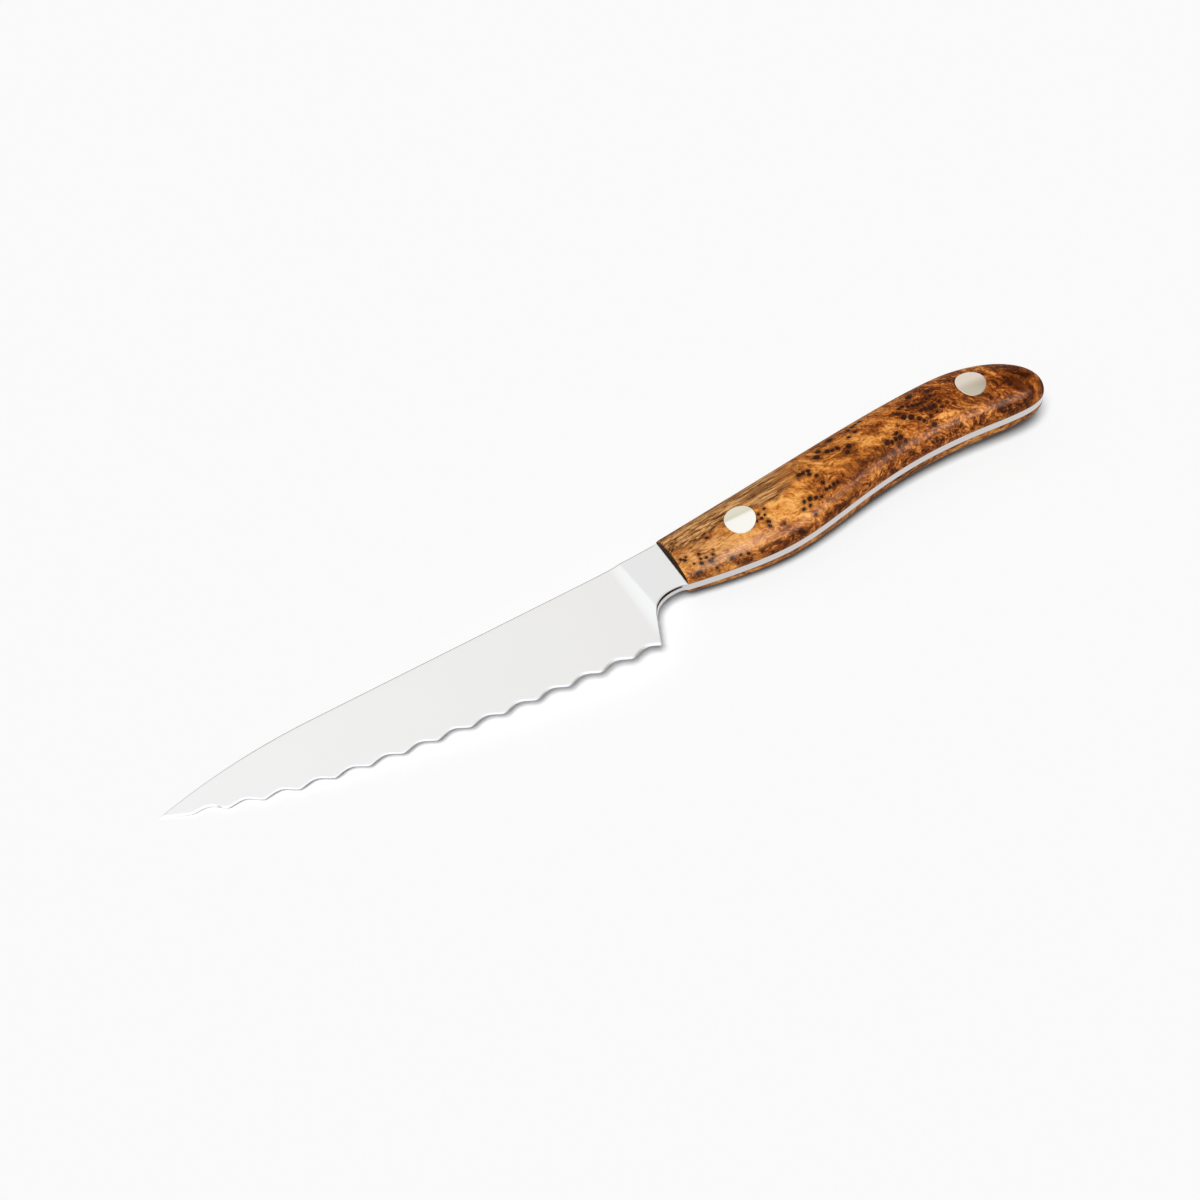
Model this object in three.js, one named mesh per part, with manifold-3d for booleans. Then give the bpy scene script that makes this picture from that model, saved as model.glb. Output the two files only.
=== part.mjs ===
import * as THREE from "three";
import { mergeVertices } from "three/addons/utils/BufferGeometryUtils.js";
import Module from "manifold-3d";

// Deli knife with a scalloped edge, a full tang and two riveted burl scales, in millimetres.
// In the knife's own frame the tip is the origin, X runs to the butt, Y to the spine,
// and Z goes across the steel, whose mid-plane is Z = 0. Left is +Z.

// Blade
const bladeLength = 139.7; // tip to the front of the scales
const bladeHeight = 26.2; // spine to cutting edge at the heel
const heelFromScales = 14.8; // heel to the front of the scales
const stockThickness = 2.3; // ricasso and tang
const spineAboveTip = 5.75; // straight stretch of the spine over the tip
const spineDropLength = 42.3; // stretch of the spine that falls to the tip
const spineRiseFromScales = 21.6; // where the spine leaves its straight stretch

// Cutting edge
const edgeAngleAtHeel = THREE.MathUtils.degToRad(3.5);
const edgeAngleAtTip = THREE.MathUtils.degToRad(24);
const edgeLeadAtHeel = 93.1; // how far the edge holds its heel angle
const edgeLeadAtTip = 16.1; // how far the edge holds its tip angle
const scallopPitch = 8.6;
const scallopDepth = 1.34;
const scallopSharpness = 1.5; // 1 is a plain half wave, higher draws the cusps out
const heelScallop = 7.65; // shorter scallop that the heel cuts off
const plainTipLength = 6; // least unscalloped stretch behind the tip
const edgeBevelAngle = THREE.MathUtils.degToRad(14); // each side

// Flat grind of the blade's faces
const spineThicknessAtHeel = 1.5;
const edgeThicknessAtHeel = 0.36; // before sharpening
const thicknessAtTip = 0.4; // before sharpening
const plungeFromScales = 14.3; // where the ground face starts to sweep up to the ricasso
const plungeRadius = 12;

// Choil behind the heel
const heelBackAngle = THREE.MathUtils.degToRad(25); // lean of the heel's back edge
const heelBackLength = 8;
const choilLeadAtHeel = 4;
const choilLeadAtScales = 6.2;

// Handle outline: the front and the swell are placed from the front of the scales, the rest from the butt
const handleLength = 110.8;
const frontBellyDrop = 8.85; // belly under the tip's level at the front of the scales
const frontBellySlope = 0.2;
const frontBellyLead = 8.7;
const swellFromFront = 26.9; // deepest point of the belly
const swellDrop = 12.3;
const swellLeadFront = 7.7;
const swellLeadRear = 14.6;
const waistFromButt = 33.3; // shallowest point of the belly
const waistDrop = 6.1;
const waistLeadFront = 22.8;
const waistLeadRear = 11.6;
const beakFromButt = 8.4; // low point in front of the butt
const beakDrop = 7.55;
const beakLeadFront = 7;
const beakLeadRear = 7.1;
const buttDrop = 2.7; // rearmost point under the tip's level
const buttLeadBelly = 2;
const buttLeadSpine = 7.2;
const crestFromButt = 26.6; // highest point of the spine
const crestRise = 12.2;
const crestLeadFront = 24.9;
const crestLeadRear = 15.8;
const spineRiseLead = 37.5;

// Scales: crown over the flat back
const crownAtFront = 3.4;
const crownFrontSlope = 0.26;
const crownFrontLead = 18.4;
const crownHeight = 8.2;
const crownFromButt = 44.8; // where the scale is thickest
const crownLeadFront = 24.8;
const crownLeadRear = 35;
const crownLeadButt = 7.9;
const frontEdgeRadius = 0.7;

// Glue line under each scale
const glueLine = 0.15;
const glueGap = 0.02; // left free on both sides of the glue bed

// Two-part rivets with flush heads
const rivetHeadDiameter = 8;
const rivetShankDiameter = 5;
const rivetStudDiameter = 3;
const studLength = 5;
const studEndGap = 0.5;
const woodUnderHead = 2.6;
const rivetGap = 0.05; // radial, in its holes and between its halves
const seatGap = 0.02; // under the heads and between the halves
const frontRivetFromFront = 18.9;
const frontRivetDrop = 2.75;
const rearRivetFromButt = 19.2;
const rearRivetRise = 2.25;

// Facets
const curveSteps = 16; // per stretch of an outline
const scallopSteps = 8; // per scallop
const plungeSteps = 24;
const crownSteps = 18; // across a scale
const handleSteps = 34; // along a scale
const frontEdgeSteps = 4; // round the front edge of a scale
const roundSteps = 40; // round a rivet
const overcut = 5; // how far a cutting body reaches past what it cuts
const honingOverlap = 0.3; // how far the two honing bodies reach past the mid-plane into each other
const weldDistance = 1e-4; // corners closer than this are one
const searchError = 1e-9; // where a search by halving stops

const wasm = await Module();
wasm.setup();

const point = (x, y) => new THREE.Vector2(x, y);
const halfStock = stockThickness / 2;
const overallLength = bladeLength + handleLength;
const tip = point(0, 0);
const heel = point(bladeLength - heelFromScales, spineAboveTip - bladeHeight);

// A curve that is level at both ends.
function levelCurve(start, leadStart, end, leadEnd) {
  return new THREE.CubicBezierCurve(
    start,
    point(start.x + leadStart, start.y),
    point(end.x - leadEnd, end.y),
    end,
  );
}

// Spine: falls to the tip, runs straight, then rises to the crest and rounds the butt.
const spineDropEnd = point(spineDropLength, spineAboveTip);
const spineRiseStart = point(bladeLength - spineRiseFromScales, spineAboveTip);
const crest = point(overallLength - crestFromButt, crestRise);
const butt = point(overallLength, -buttDrop);
const spineDrop = new THREE.QuadraticBezierCurve(
  tip,
  point(spineDropLength / 2, spineAboveTip),
  spineDropEnd,
);
const spineRise = levelCurve(spineRiseStart, spineRiseLead, crest, crestLeadFront);
const buttTop = new THREE.CubicBezierCurve(
  crest,
  point(crest.x + crestLeadRear, crest.y),
  point(butt.x, butt.y + buttLeadSpine),
  butt,
);

// Belly: heel's back, choil, swell, waist, beak and the underside of the butt.
const heelBack = point(Math.sin(heelBackAngle), Math.cos(heelBackAngle));
const choilStart = heel.clone().addScaledVector(heelBack, heelBackLength);
const bellyFront = point(bladeLength, -frontBellyDrop);
const swell = point(bladeLength + swellFromFront, -swellDrop);
const waist = point(overallLength - waistFromButt, -waistDrop);
const beak = point(overallLength - beakFromButt, -beakDrop);
const choil = new THREE.CubicBezierCurve(
  choilStart,
  choilStart.clone().addScaledVector(heelBack, choilLeadAtHeel),
  point(bellyFront.x - choilLeadAtScales, bellyFront.y + frontBellySlope * choilLeadAtScales),
  bellyFront,
);
const bellyToSwell = new THREE.CubicBezierCurve(
  bellyFront,
  point(bellyFront.x + frontBellyLead, bellyFront.y - frontBellySlope * frontBellyLead),
  point(swell.x - swellLeadFront, swell.y),
  swell,
);
const swellToWaist = levelCurve(swell, swellLeadRear, waist, waistLeadFront);
const waistToBeak = levelCurve(waist, waistLeadRear, beak, beakLeadFront);
const buttUnder = new THREE.CubicBezierCurve(
  beak,
  point(beak.x + beakLeadRear, beak.y),
  point(butt.x, butt.y - buttLeadBelly),
  butt,
);
const spineCurves = [spineRise, buttTop];
const bellyCurves = [bellyToSwell, swellToWaist, waistToBeak, buttUnder];

// Crown: height of a scale over its flat back, seen from the side.
const crownFront = point(bladeLength, crownAtFront);
const crownPeak = point(overallLength - crownFromButt, crownHeight);
const crownCurves = [
  new THREE.CubicBezierCurve(
    crownFront,
    point(crownFront.x + crownFrontLead, crownFront.y + crownFrontSlope * crownFrontLead),
    point(crownPeak.x - crownLeadFront, crownPeak.y),
    crownPeak,
  ),
  new THREE.CubicBezierCurve(
    crownPeak,
    point(crownPeak.x + crownLeadRear, crownPeak.y),
    point(overallLength, crownLeadButt),
    point(overallLength, 0),
  ),
];

// Height over x of curves that follow each other and run from left to right.
function heightAt(curves, x) {
  const curve = curves.find((each) => x <= each.v3.x) ?? curves.at(-1);
  let low = 0;
  let high = 1;
  while (high - low > searchError) {
    const middle = (low + high) / 2;
    if (curve.getPoint(middle).x < x) low = middle;
    else high = middle;
  }
  return curve.getPoint(high).y;
}

// Points of curves that follow each other, with no point twice.
function pointsAlong(curves) {
  return curves.flatMap((curve, index) => curve.getPoints(curveSteps).slice(index ? 1 : 0));
}

// Geometry with shared corners and without the triangles that shrink to a line at an axis.
function welded(geometry) {
  const bare = new THREE.BufferGeometry().setAttribute("position", geometry.attributes.position.clone());
  bare.setIndex(geometry.index);
  const merged = mergeVertices(bare, weldDistance);
  const kept = [];
  for (let i = 0; i < merged.index.count; i += 3) {
    const corners = [0, 1, 2].map((step) => merged.index.getX(i + step));
    if (new Set(corners).size === 3) kept.push(...corners);
  }
  return merged.setIndex(kept);
}

// Solid of a closed geometry, for cutting and joining.
function solid(geometry) {
  const closed = welded(geometry);
  return new wasm.Manifold(
    new wasm.Mesh({
      numProp: 3,
      vertProperties: new Float32Array(closed.attributes.position.array),
      triVerts: new Uint32Array(closed.index.array),
    }),
  );
}

// Geometry of a solid.
function geometryOf(body) {
  const mesh = body.getMesh();
  const geometry = new THREE.BufferGeometry();
  geometry.setAttribute("position", new THREE.BufferAttribute(new Float32Array(mesh.vertProperties), 3));
  geometry.setIndex(new THREE.BufferAttribute(new Uint32Array(mesh.triVerts), 1));
  geometry.computeVertexNormals();
  return geometry;
}

// The same geometry on the other side of the mid-plane, with its faces turned to point out again.
function mirrored(geometry) {
  const copy = welded(geometry).scale(1, 1, -1);
  const corners = Array.from(copy.index.array);
  return copy.setIndex(corners.reverse());
}

// A plate between two heights.
function plate(outline, bottom, top, holes = []) {
  const shape = new THREE.Shape(outline);
  shape.holes.push(...holes);
  const geometry = new THREE.ExtrudeGeometry(shape, {
    depth: top - bottom,
    bevelEnabled: false,
    curveSegments: roundSteps,
  });
  return geometry.translate(0, 0, bottom);
}

// A round hole through a plate.
function hole(centre, diameter) {
  return new THREE.Path().absarc(centre.x, centre.y, diameter / 2, 0, 2 * Math.PI, true);
}

// A turned body along Z over a point of the handle, from the radius and height of each corner.
function turned(centre, corners) {
  const profile = corners.map(([radius, height]) => point(radius, height));
  const geometry = new THREE.LatheGeometry(profile, roundSteps);
  return geometry.rotateX(Math.PI / 2).translate(centre.x, centre.y, 0);
}

// Rivet places, and what passes through the tang, the glue beds and the scales
const frontRivet = point(bladeLength + frontRivetFromFront, -frontRivetDrop);
const rearRivet = point(overallLength - rearRivetFromButt, rearRivetRise);
const shankRadius = rivetShankDiameter / 2;
const shankHoles = () => [frontRivet, rearRivet].map((centre) => hole(centre, 2 * (shankRadius + rivetGap)));

// Sharp edge from the tip to the heel, with its scallops counted back from the foremost cusp.
function edgeLine() {
  const course = new THREE.CubicBezierCurve(
    heel,
    point(
      heel.x - edgeLeadAtHeel * Math.cos(edgeAngleAtHeel),
      heel.y + edgeLeadAtHeel * Math.sin(edgeAngleAtHeel),
    ),
    point(edgeLeadAtTip * Math.cos(edgeAngleAtTip), -edgeLeadAtTip * Math.sin(edgeAngleAtTip)),
    tip,
  );
  const length = course.getLength();
  const wholeScallops = Math.floor((length - plainTipLength - heelScallop) / scallopPitch);
  const scalloped = heelScallop + wholeScallops * scallopPitch;
  const line = [];
  for (let step = 0; step < scallopSteps; step += 1) {
    const fromHeel = THREE.MathUtils.lerp(length, scalloped, step / scallopSteps);
    line.push(course.getPointAt(fromHeel / length));
  }
  for (let back = 0; back < scalloped; back += scallopPitch / scallopSteps) {
    line.push(scallopPoint(course, (scalloped - back) / length, back));
  }
  line.push(scallopPoint(course, 0, scalloped));
  return line;
}

// Point of the scalloped edge at a share of its course, so far back from a cusp.
function scallopPoint(course, share, back) {
  const wave = Math.abs(Math.sin((Math.PI * back) / scallopPitch)) ** scallopSharpness;
  const heading = course.getTangentAt(share);
  const inward = point(heading.y, -heading.x);
  return course.getPointAt(share).addScaledVector(inward, scallopDepth * wave);
}

// Body that hones the left side of the edge: all that lies under a bevel rising from the edge line.
function honingBody() {
  const line = edgeLine();
  const past = overcut + bladeHeight;
  const beforeTip = point(-overcut * Math.cos(edgeAngleAtTip), overcut * Math.sin(edgeAngleAtTip));
  const heelEnd = line.at(-1);
  const pastHeel = point(heelEnd.x + overcut, heelEnd.y - overcut * Math.sin(edgeAngleAtHeel));
  const outline = [point(-overcut, -past), point(pastHeel.x, -past), pastHeel, ...line.reverse(), beforeTip];
  const lean = new THREE.Matrix4().makeShear(0, 0, 0, 0, 0, 1 / Math.tan(edgeBevelAngle));
  return plate(outline, -honingOverlap, stockThickness).applyMatrix4(lean);
}

// Body that grinds the left face flat and sweeps up to the ricasso at the plunge.
function grindingBody() {
  const plunge = bladeLength - plungeFromScales;
  const profile = new THREE.Shape();
  profile.moveTo(-overcut, 0);
  profile.lineTo(plunge, 0);
  profile.absarc(plunge, plungeRadius, plungeRadius, -Math.PI / 2, 0, false);
  profile.lineTo(-overcut, plungeRadius);
  const depth = bladeHeight + 2 * overcut;
  const geometry = new THREE.ExtrudeGeometry(profile, {
    depth,
    bevelEnabled: false,
    curveSegments: plungeSteps,
  });
  const heelHalf = spineThicknessAtHeel / 2;
  const riseToSpine = (heelHalf - edgeThicknessAtHeel / 2) / bladeHeight;
  const riseToHeel = (heelHalf - thicknessAtTip / 2 - riseToSpine * spineAboveTip) / heel.x;
  const faceAtTip = thicknessAtTip / 2;
  const face = new THREE.Matrix4().set(
    ...[1, 0, 0, 0],
    ...[0, 1, 0, 0],
    ...[riseToHeel, riseToSpine, 1, faceAtTip],
    ...[0, 0, 0, 1],
  );
  return geometry.rotateX(Math.PI / 2).translate(0, spineAboveTip + overcut, 0).applyMatrix4(face);
}

// Blade, ricasso and full tang: one plate, ground and honed on both sides.
function bladeGeometry() {
  const underHeel = heel.clone().addScaledVector(heelBack, -overcut);
  const outline = [
    point(tip.x, underHeel.y),
    underHeel,
    ...choil.getPoints(curveSteps),
    ...pointsAlong(bellyCurves).slice(1),
    ...pointsAlong(spineCurves).reverse().slice(1),
    ...spineDrop.getPoints(curveSteps).reverse(),
  ];
  let body = solid(plate(outline, -halfStock, halfStock, shankHoles()));
  for (const cutter of [grindingBody(), honingBody()]) {
    body = body.subtract(solid(cutter)).subtract(solid(mirrored(cutter)));
  }
  return geometryOf(body);
}

// Stations along a scale: close together round its front edge and towards the butt.
function scaleStations() {
  const stations = [];
  for (let step = 0; step < frontEdgeSteps; step += 1) {
    stations.push(frontEdgeRadius * (1 - Math.cos(((Math.PI / 2) * step) / frontEdgeSteps)));
  }
  for (let step = 0; step < handleSteps; step += 1) {
    const share = Math.sin(((Math.PI / 2) * step) / handleSteps);
    stations.push(THREE.MathUtils.lerp(frontEdgeRadius, handleLength, share));
  }
  return stations;
}

// Height of a scale over its back at a station, with the front edge rounded over.
function crownAt(station) {
  const beforeEdge = Math.max(frontEdgeRadius - station, 0);
  const roundedOff = frontEdgeRadius - Math.sqrt(frontEdgeRadius ** 2 - beforeEdge ** 2);
  return heightAt(crownCurves, bladeLength + station) - roundedOff;
}

// Left scale before drilling: half an oval at every station, flat on the tang and flush with its edges.
const scaleBack = halfStock + glueLine;
function scaleBlank() {
  const stations = scaleStations();
  const corners = [];
  for (const station of stations) {
    const x = bladeLength + station;
    const belly = heightAt(bellyCurves, x);
    const spine = heightAt(spineCurves, x);
    const crown = crownAt(station);
    for (let step = 0; step <= crownSteps; step += 1) {
      const turn = (Math.PI * step) / crownSteps;
      const y = (spine + belly) / 2 - ((spine - belly) / 2) * Math.cos(turn);
      corners.push(x, y, scaleBack + crown * Math.sin(turn));
    }
  }
  corners.push(butt.x, butt.y, scaleBack);
  const ring = crownSteps + 1;
  const buttCorner = stations.length * ring;
  const faces = [];
  for (let station = 0; station < stations.length; station += 1) {
    const here = station * ring;
    const last = station === stations.length - 1;
    const next = (step) => (last ? buttCorner : here + ring + step);
    for (let step = 0; step < crownSteps; step += 1) {
      faces.push(here + step, next(step), next(step + 1), here + step, next(step + 1), here + step + 1);
    }
    faces.push(here, here + crownSteps, next(crownSteps), here, next(crownSteps), next(0));
  }
  for (let step = 1; step < crownSteps; step += 1) faces.push(0, step, step + 1);
  const geometry = new THREE.BufferGeometry();
  geometry.setAttribute("position", new THREE.Float32BufferAttribute(corners, 3));
  return geometry.setIndex(faces);
}

// Left scale with the stepped holes of its rivets.
const headSeat = scaleBack + woodUnderHead;
const aboveCrown = scaleBack + crownHeight + overcut;
const headRadius = rivetHeadDiameter / 2;
function scaleGeometry() {
  let body = solid(scaleBlank());
  for (const centre of [frontRivet, rearRivet]) {
    const drill = turned(centre, [
      [0, 0],
      [shankRadius + rivetGap, 0],
      [shankRadius + rivetGap, headSeat],
      [headRadius + rivetGap, headSeat],
      [headRadius + rivetGap, aboveCrown],
      [0, aboveCrown],
    ]);
    body = body.subtract(solid(drill));
  }
  return geometryOf(body);
}

// Rivet head on the left, ground flush with the crown of the scale.
function rivetHead(centre) {
  const head = turned(centre, [
    [0, headSeat + seatGap],
    [headRadius, headSeat + seatGap],
    [headRadius, aboveCrown],
    [0, aboveCrown],
  ]);
  return solid(head).intersect(solid(scaleBlank()));
}

// Half of a rivet with a threaded stud, its head on the left.
const shankTop = headSeat + seatGap + shankRadius / 2;
const studRadius = rivetStudDiameter / 2;
function rivetBolt(centre) {
  const shank = turned(centre, [
    [0, -studLength],
    [studRadius, -studLength],
    [studRadius, seatGap],
    [shankRadius, seatGap],
    [shankRadius, shankTop],
    [0, shankTop],
  ]);
  return geometryOf(rivetHead(centre).add(solid(shank)));
}

// Half of a rivet with a blind hole for the stud, its head on the right.
function rivetNut(centre) {
  const sleeve = turned(centre, [
    [0, 0],
    [shankRadius, 0],
    [shankRadius, shankTop],
    [0, shankTop],
  ]);
  const bore = turned(centre, [
    [0, -overcut],
    [studRadius + rivetGap, -overcut],
    [studRadius + rivetGap, studLength + studEndGap],
    [0, studLength + studEndGap],
  ]);
  return mirrored(geometryOf(rivetHead(centre).add(solid(sleeve)).subtract(solid(bore))));
}

// Hardened glue between the tang and the left scale.
function glueBed() {
  const outline = [
    ...pointsAlong(bellyCurves),
    ...pointsAlong(spineCurves)
      .filter((each) => each.x > bladeLength)
      .reverse()
      .slice(1),
    point(bladeLength, heightAt(spineCurves, bladeLength)),
  ];
  return plate(outline, halfStock + glueGap, scaleBack - glueGap, shankHoles());
}

// Materials
const steel = { color: 0xd3d5d6, roughness: 0.32, metalness: 1 };
const burl = { color: 0xa9682f, roughness: 0.25, metalness: 0 };
const nickelSilver = { color: 0xcfc8b6, roughness: 0.15, metalness: 1 };
const glue = { color: 0x3a2416, roughness: 0.6, metalness: 0 };

const knife = new THREE.Group();
knife.name = "knife";

function addPiece(name, geometry, finish) {
  const mesh = new THREE.Mesh(geometry, new THREE.MeshStandardMaterial(finish));
  mesh.name = name;
  knife.add(mesh);
  return mesh;
}

const blade = addPiece("blade", bladeGeometry(), steel);
const leftScale = scaleGeometry();
addPiece("left_scale", leftScale, burl);
const rightScale = addPiece("right_scale", mirrored(leftScale), burl);
addPiece("left_glue_bed", glueBed(), glue);
addPiece("right_glue_bed", mirrored(glueBed()), glue);
addPiece("front_rivet_bolt", rivetBolt(frontRivet), nickelSilver);
addPiece("front_rivet_nut", rivetNut(frontRivet), nickelSilver);
addPiece("rear_rivet_bolt", rivetBolt(rearRivet), nickelSilver);
addPiece("rear_rivet_nut", rivetNut(rearRivet), nickelSilver);

// Lowest corner of a piece once the knife's butt is raised by an angle.
function lowest(piece, pitch) {
  const corners = piece.geometry.attributes.position;
  let height = Infinity;
  for (let i = 0; i < corners.count; i += 1) {
    height = Math.min(height, corners.getX(i) * Math.sin(pitch) + corners.getZ(i) * Math.cos(pitch));
  }
  return height;
}

// The knife lies on its right scale and its tip, with the origin on the table under its middle.
let flat = 0;
let steep = Math.PI / 8;
while (steep - flat > searchError) {
  const pitch = (flat + steep) / 2;
  if (lowest(rightScale, pitch) < lowest(blade, pitch)) flat = pitch;
  else steep = pitch;
}
knife.rotation.y = -steep;
const deliKnife = new THREE.Group();
deliKnife.name = "deli_knife";
deliKnife.add(knife);
const box = new THREE.Box3().setFromObject(deliKnife, true);
const middle = box.getCenter(new THREE.Vector3());
knife.position.set(-middle.x, -middle.y, -box.min.z);

export default deliKnife;
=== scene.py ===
"""Deli knife with a scalloped edge, a full tang and two riveted burl scales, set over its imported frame."""

from __future__ import annotations

import logging
import math
from dataclasses import dataclass, field
from enum import Enum
from typing import Any

import bmesh
import bpy
import numpy as np
from mathutils import Matrix, Vector


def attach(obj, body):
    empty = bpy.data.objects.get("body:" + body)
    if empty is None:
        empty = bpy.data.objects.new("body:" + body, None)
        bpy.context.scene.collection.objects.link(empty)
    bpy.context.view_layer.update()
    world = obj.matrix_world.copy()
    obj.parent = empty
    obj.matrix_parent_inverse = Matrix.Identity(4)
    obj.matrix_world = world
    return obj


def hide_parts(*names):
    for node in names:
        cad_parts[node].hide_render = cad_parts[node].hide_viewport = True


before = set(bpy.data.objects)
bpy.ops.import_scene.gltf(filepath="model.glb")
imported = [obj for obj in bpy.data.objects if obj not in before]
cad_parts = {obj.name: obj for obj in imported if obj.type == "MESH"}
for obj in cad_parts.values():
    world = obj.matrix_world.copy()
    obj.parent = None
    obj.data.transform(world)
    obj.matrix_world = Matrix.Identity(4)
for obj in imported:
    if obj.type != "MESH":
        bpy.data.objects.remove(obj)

log = logging.getLogger("deli_knife")

MM = 0.001
DRILL_STEPS = 64
SHARP_ANGLE = math.radians(40)
QUARTER_TURN = math.pi / 2
Array = np.ndarray
Socket = bpy.types.NodeSocket
Pair = tuple[float, float]
Triple = tuple[float, float, float]
Colour = tuple[float, float, float, float]


class Side(Enum):
    """Side of the steel: the left one looks up as the knife lies."""

    LEFT = 1
    RIGHT = -1

    def mirrored(self, points: Array) -> Array:
        """Carry points or directions between the left side and this one."""
        return points * np.array([1, 1, self.value])


class Lines(Enum):
    """Way that the fine lines of a ground surface run, as how close they lie along X, Y and Z."""

    ACROSS = (9.0, 0.12, 9.0)
    ALONG = (0.12, 9.0, 9.0)
    CROSSED = (4.0, 4.0, 4.0)


def srgb(red: int, green: int, blue: int) -> Colour:
    """Give a colour, written as on a screen from 0 to 255, in the linear values that shaders take.

    Args:
        red: Red from 0 to 255.
        green: Green from 0 to 255.
        blue: Blue from 0 to 255.

    Returns:
        The linear colour with a full alpha.
    """
    shares = [value / 255 for value in (red, green, blue)]
    linear = [s / 12.92 if s <= 0.04045 else ((s + 0.055) / 1.055) ** 2.4 for s in shares]
    return (linear[0], linear[1], linear[2], 1.0)


@dataclass(frozen=True)
class Bend:
    """One stretch of an outline: a Bezier curve in the plane of the steel, in millimetres."""

    corners: tuple[Pair, ...]

    def points(self, steps: int) -> Array:
        """Give points spread over the curve.

        Args:
            steps: Number of steps between its ends.

        Returns:
            The points, one row each.
        """
        share = np.linspace(0, 1, steps + 1)[:, None]
        degree = len(self.corners) - 1
        weights = [
            math.comb(degree, k) * share**k * (1 - share) ** (degree - k) for k in range(degree + 1)
        ]
        return sum(weight * np.array(corner) for weight, corner in zip(weights, self.corners))


def bend_between(start: Pair, leave: Pair, end: Pair, arrive: Pair) -> Bend:
    """Give a bend from the ways in which it leaves its start and arrives at its end.

    Args:
        start: Where it starts.
        leave: How far it runs on from the start before it turns away.
        end: Where it ends.
        arrive: How far it runs in its last direction before the end.

    Returns:
        The bend.
    """
    after = (start[0] + leave[0], start[1] + leave[1])
    before = (end[0] - arrive[0], end[1] - arrive[1])
    return Bend((start, after, before, end))


class Course:
    """Outline that runs from the tip towards the butt, read as a height over its station."""

    STEPS = 2000

    def __init__(self, *bends: Bend) -> None:
        """Join bends that follow each other.

        Args:
            bends: Bends from front to rear.
        """
        line = np.concatenate([bend.points(self.STEPS) for bend in bends])
        self.stations = np.maximum.accumulate(line[:, 0])
        self.heights = line[:, 1]

    def height(self, x: Array) -> Array:
        """Give the height of the outline at these stations."""
        return np.interp(x, self.stations, self.heights)


@dataclass(frozen=True)
class Resting:
    """How the knife lies on the table: on its tip and the swell of its right scale."""

    pitch: float = math.radians(2.939572)
    tip: Triple = (-125.118527, 3.995543, 0.149424)

    def turned(self, directions: Array) -> Array:
        """Turn directions from the knife's own frame to the row frame."""
        return directions @ np.array(Matrix.Rotation(-self.pitch, 3, "Y")).T

    def placed(self, points: Array) -> Array:
        """Move points in millimetres from the knife's own frame to metres in the row frame."""
        return (self.turned(points) + np.array(self.tip)) * MM

    def back_shift(self) -> Vector:
        """Give the shift that, after turning back, puts the tip at the origin again."""
        return -(Matrix.Rotation(self.pitch, 3, "Y") @ Vector(self.tip))


RESTING = Resting()


@dataclass
class Blank:
    """Corners and faces of a piece while it is shaped, in millimetres in the knife's own frame."""

    corners: Array
    faces: list[tuple[int, ...]]

    WELD = 1e-6

    def mesh(self, name: str) -> bpy.types.Mesh:
        """Weld the blank into a closed mesh on the table, with its faces looking out.

        Args:
            name: Name of the mesh.

        Returns:
            The mesh in metres in the row frame.
        """
        mesh = bpy.data.meshes.new(name)
        mesh.from_pydata(RESTING.placed(self.corners).tolist(), [], self.faces)
        shaped = bmesh.new()
        shaped.from_mesh(mesh)
        bmesh.ops.remove_doubles(shaped, verts=shaped.verts, dist=self.WELD)
        bmesh.ops.dissolve_degenerate(shaped, edges=shaped.edges, dist=self.WELD)
        bmesh.ops.recalc_face_normals(shaped, faces=shaped.faces)
        shaped.to_mesh(mesh)
        shaped.free()
        return mesh


def grid_faces(rows: int, columns: int) -> list[tuple[int, ...]]:
    """Give the four-sided faces between rows of corners, each row closed to a ring.

    Args:
        rows: Number of rows.
        columns: Corners in each row.

    Returns:
        The faces as corner numbers.
    """
    return [
        (
            row * columns + step,
            (row + 1) * columns + step,
            (row + 1) * columns + (step + 1) % columns,
            row * columns + (step + 1) % columns,
        )
        for row in range(rows - 1)
        for step in range(columns)
    ]


def knife_frame(mesh: bpy.types.Mesh) -> Array:
    """Give the corners of a mesh in the knife's own frame.

    Args:
        mesh: Mesh in metres in the row frame.

    Returns:
        The corners in millimetres, one row each, with the tip as origin, X to the butt and Y to the spine.
    """
    places = np.empty(len(mesh.vertices) * 3)
    mesh.vertices.foreach_get("co", places)
    turn = np.array(Matrix.Rotation(RESTING.pitch, 3, "Y"))
    return (places.reshape(-1, 3) / MM - np.array(RESTING.tip)) @ turn.T


def set_in_scene(name: str, data: Any) -> bpy.types.Object:
    """Make an object and put it in the scene.

    Args:
        name: Name of the object.
        data: Its mesh, lamp or camera.

    Returns:
        The object.
    """
    made = bpy.data.objects.new(name, data)
    bpy.context.scene.collection.objects.link(made)
    return made


def point_to(turned: bpy.types.Object, way: Vector, axis: str = "Z") -> None:
    """Turn an object so that one of its own axes points this way."""
    turned.rotation_mode = "QUATERNION"
    turned.rotation_quaternion = way.to_track_quat(axis, "Y")


def add_piece(mesh: bpy.types.Mesh, node: str) -> bpy.types.Object:
    """Put a mesh in the scene as a piece that stands for a frame node.

    Args:
        mesh: Mesh of the piece.
        node: Frame node that the piece stands for.

    Returns:
        The piece, riding on the knife.
    """
    piece = set_in_scene(f"dressed_{node}", mesh)
    mesh.name = piece.name
    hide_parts(node)
    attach(piece, "root")
    log.info("%s: %d faces", piece.name, len(mesh.polygons))
    return piece


def circle(centre: Pair, radius: float, steps: int) -> Array:
    """Give points round a circle in the plane of the steel.

    Args:
        centre: Middle of the circle.
        radius: Radius of the circle.
        steps: Number of points.

    Returns:
        The points, one row each.
    """
    turn = np.linspace(0, 2 * math.pi, steps, endpoint=False)
    return np.stack([centre[0] + radius * np.cos(turn), centre[1] + radius * np.sin(turn)], 1)


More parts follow.
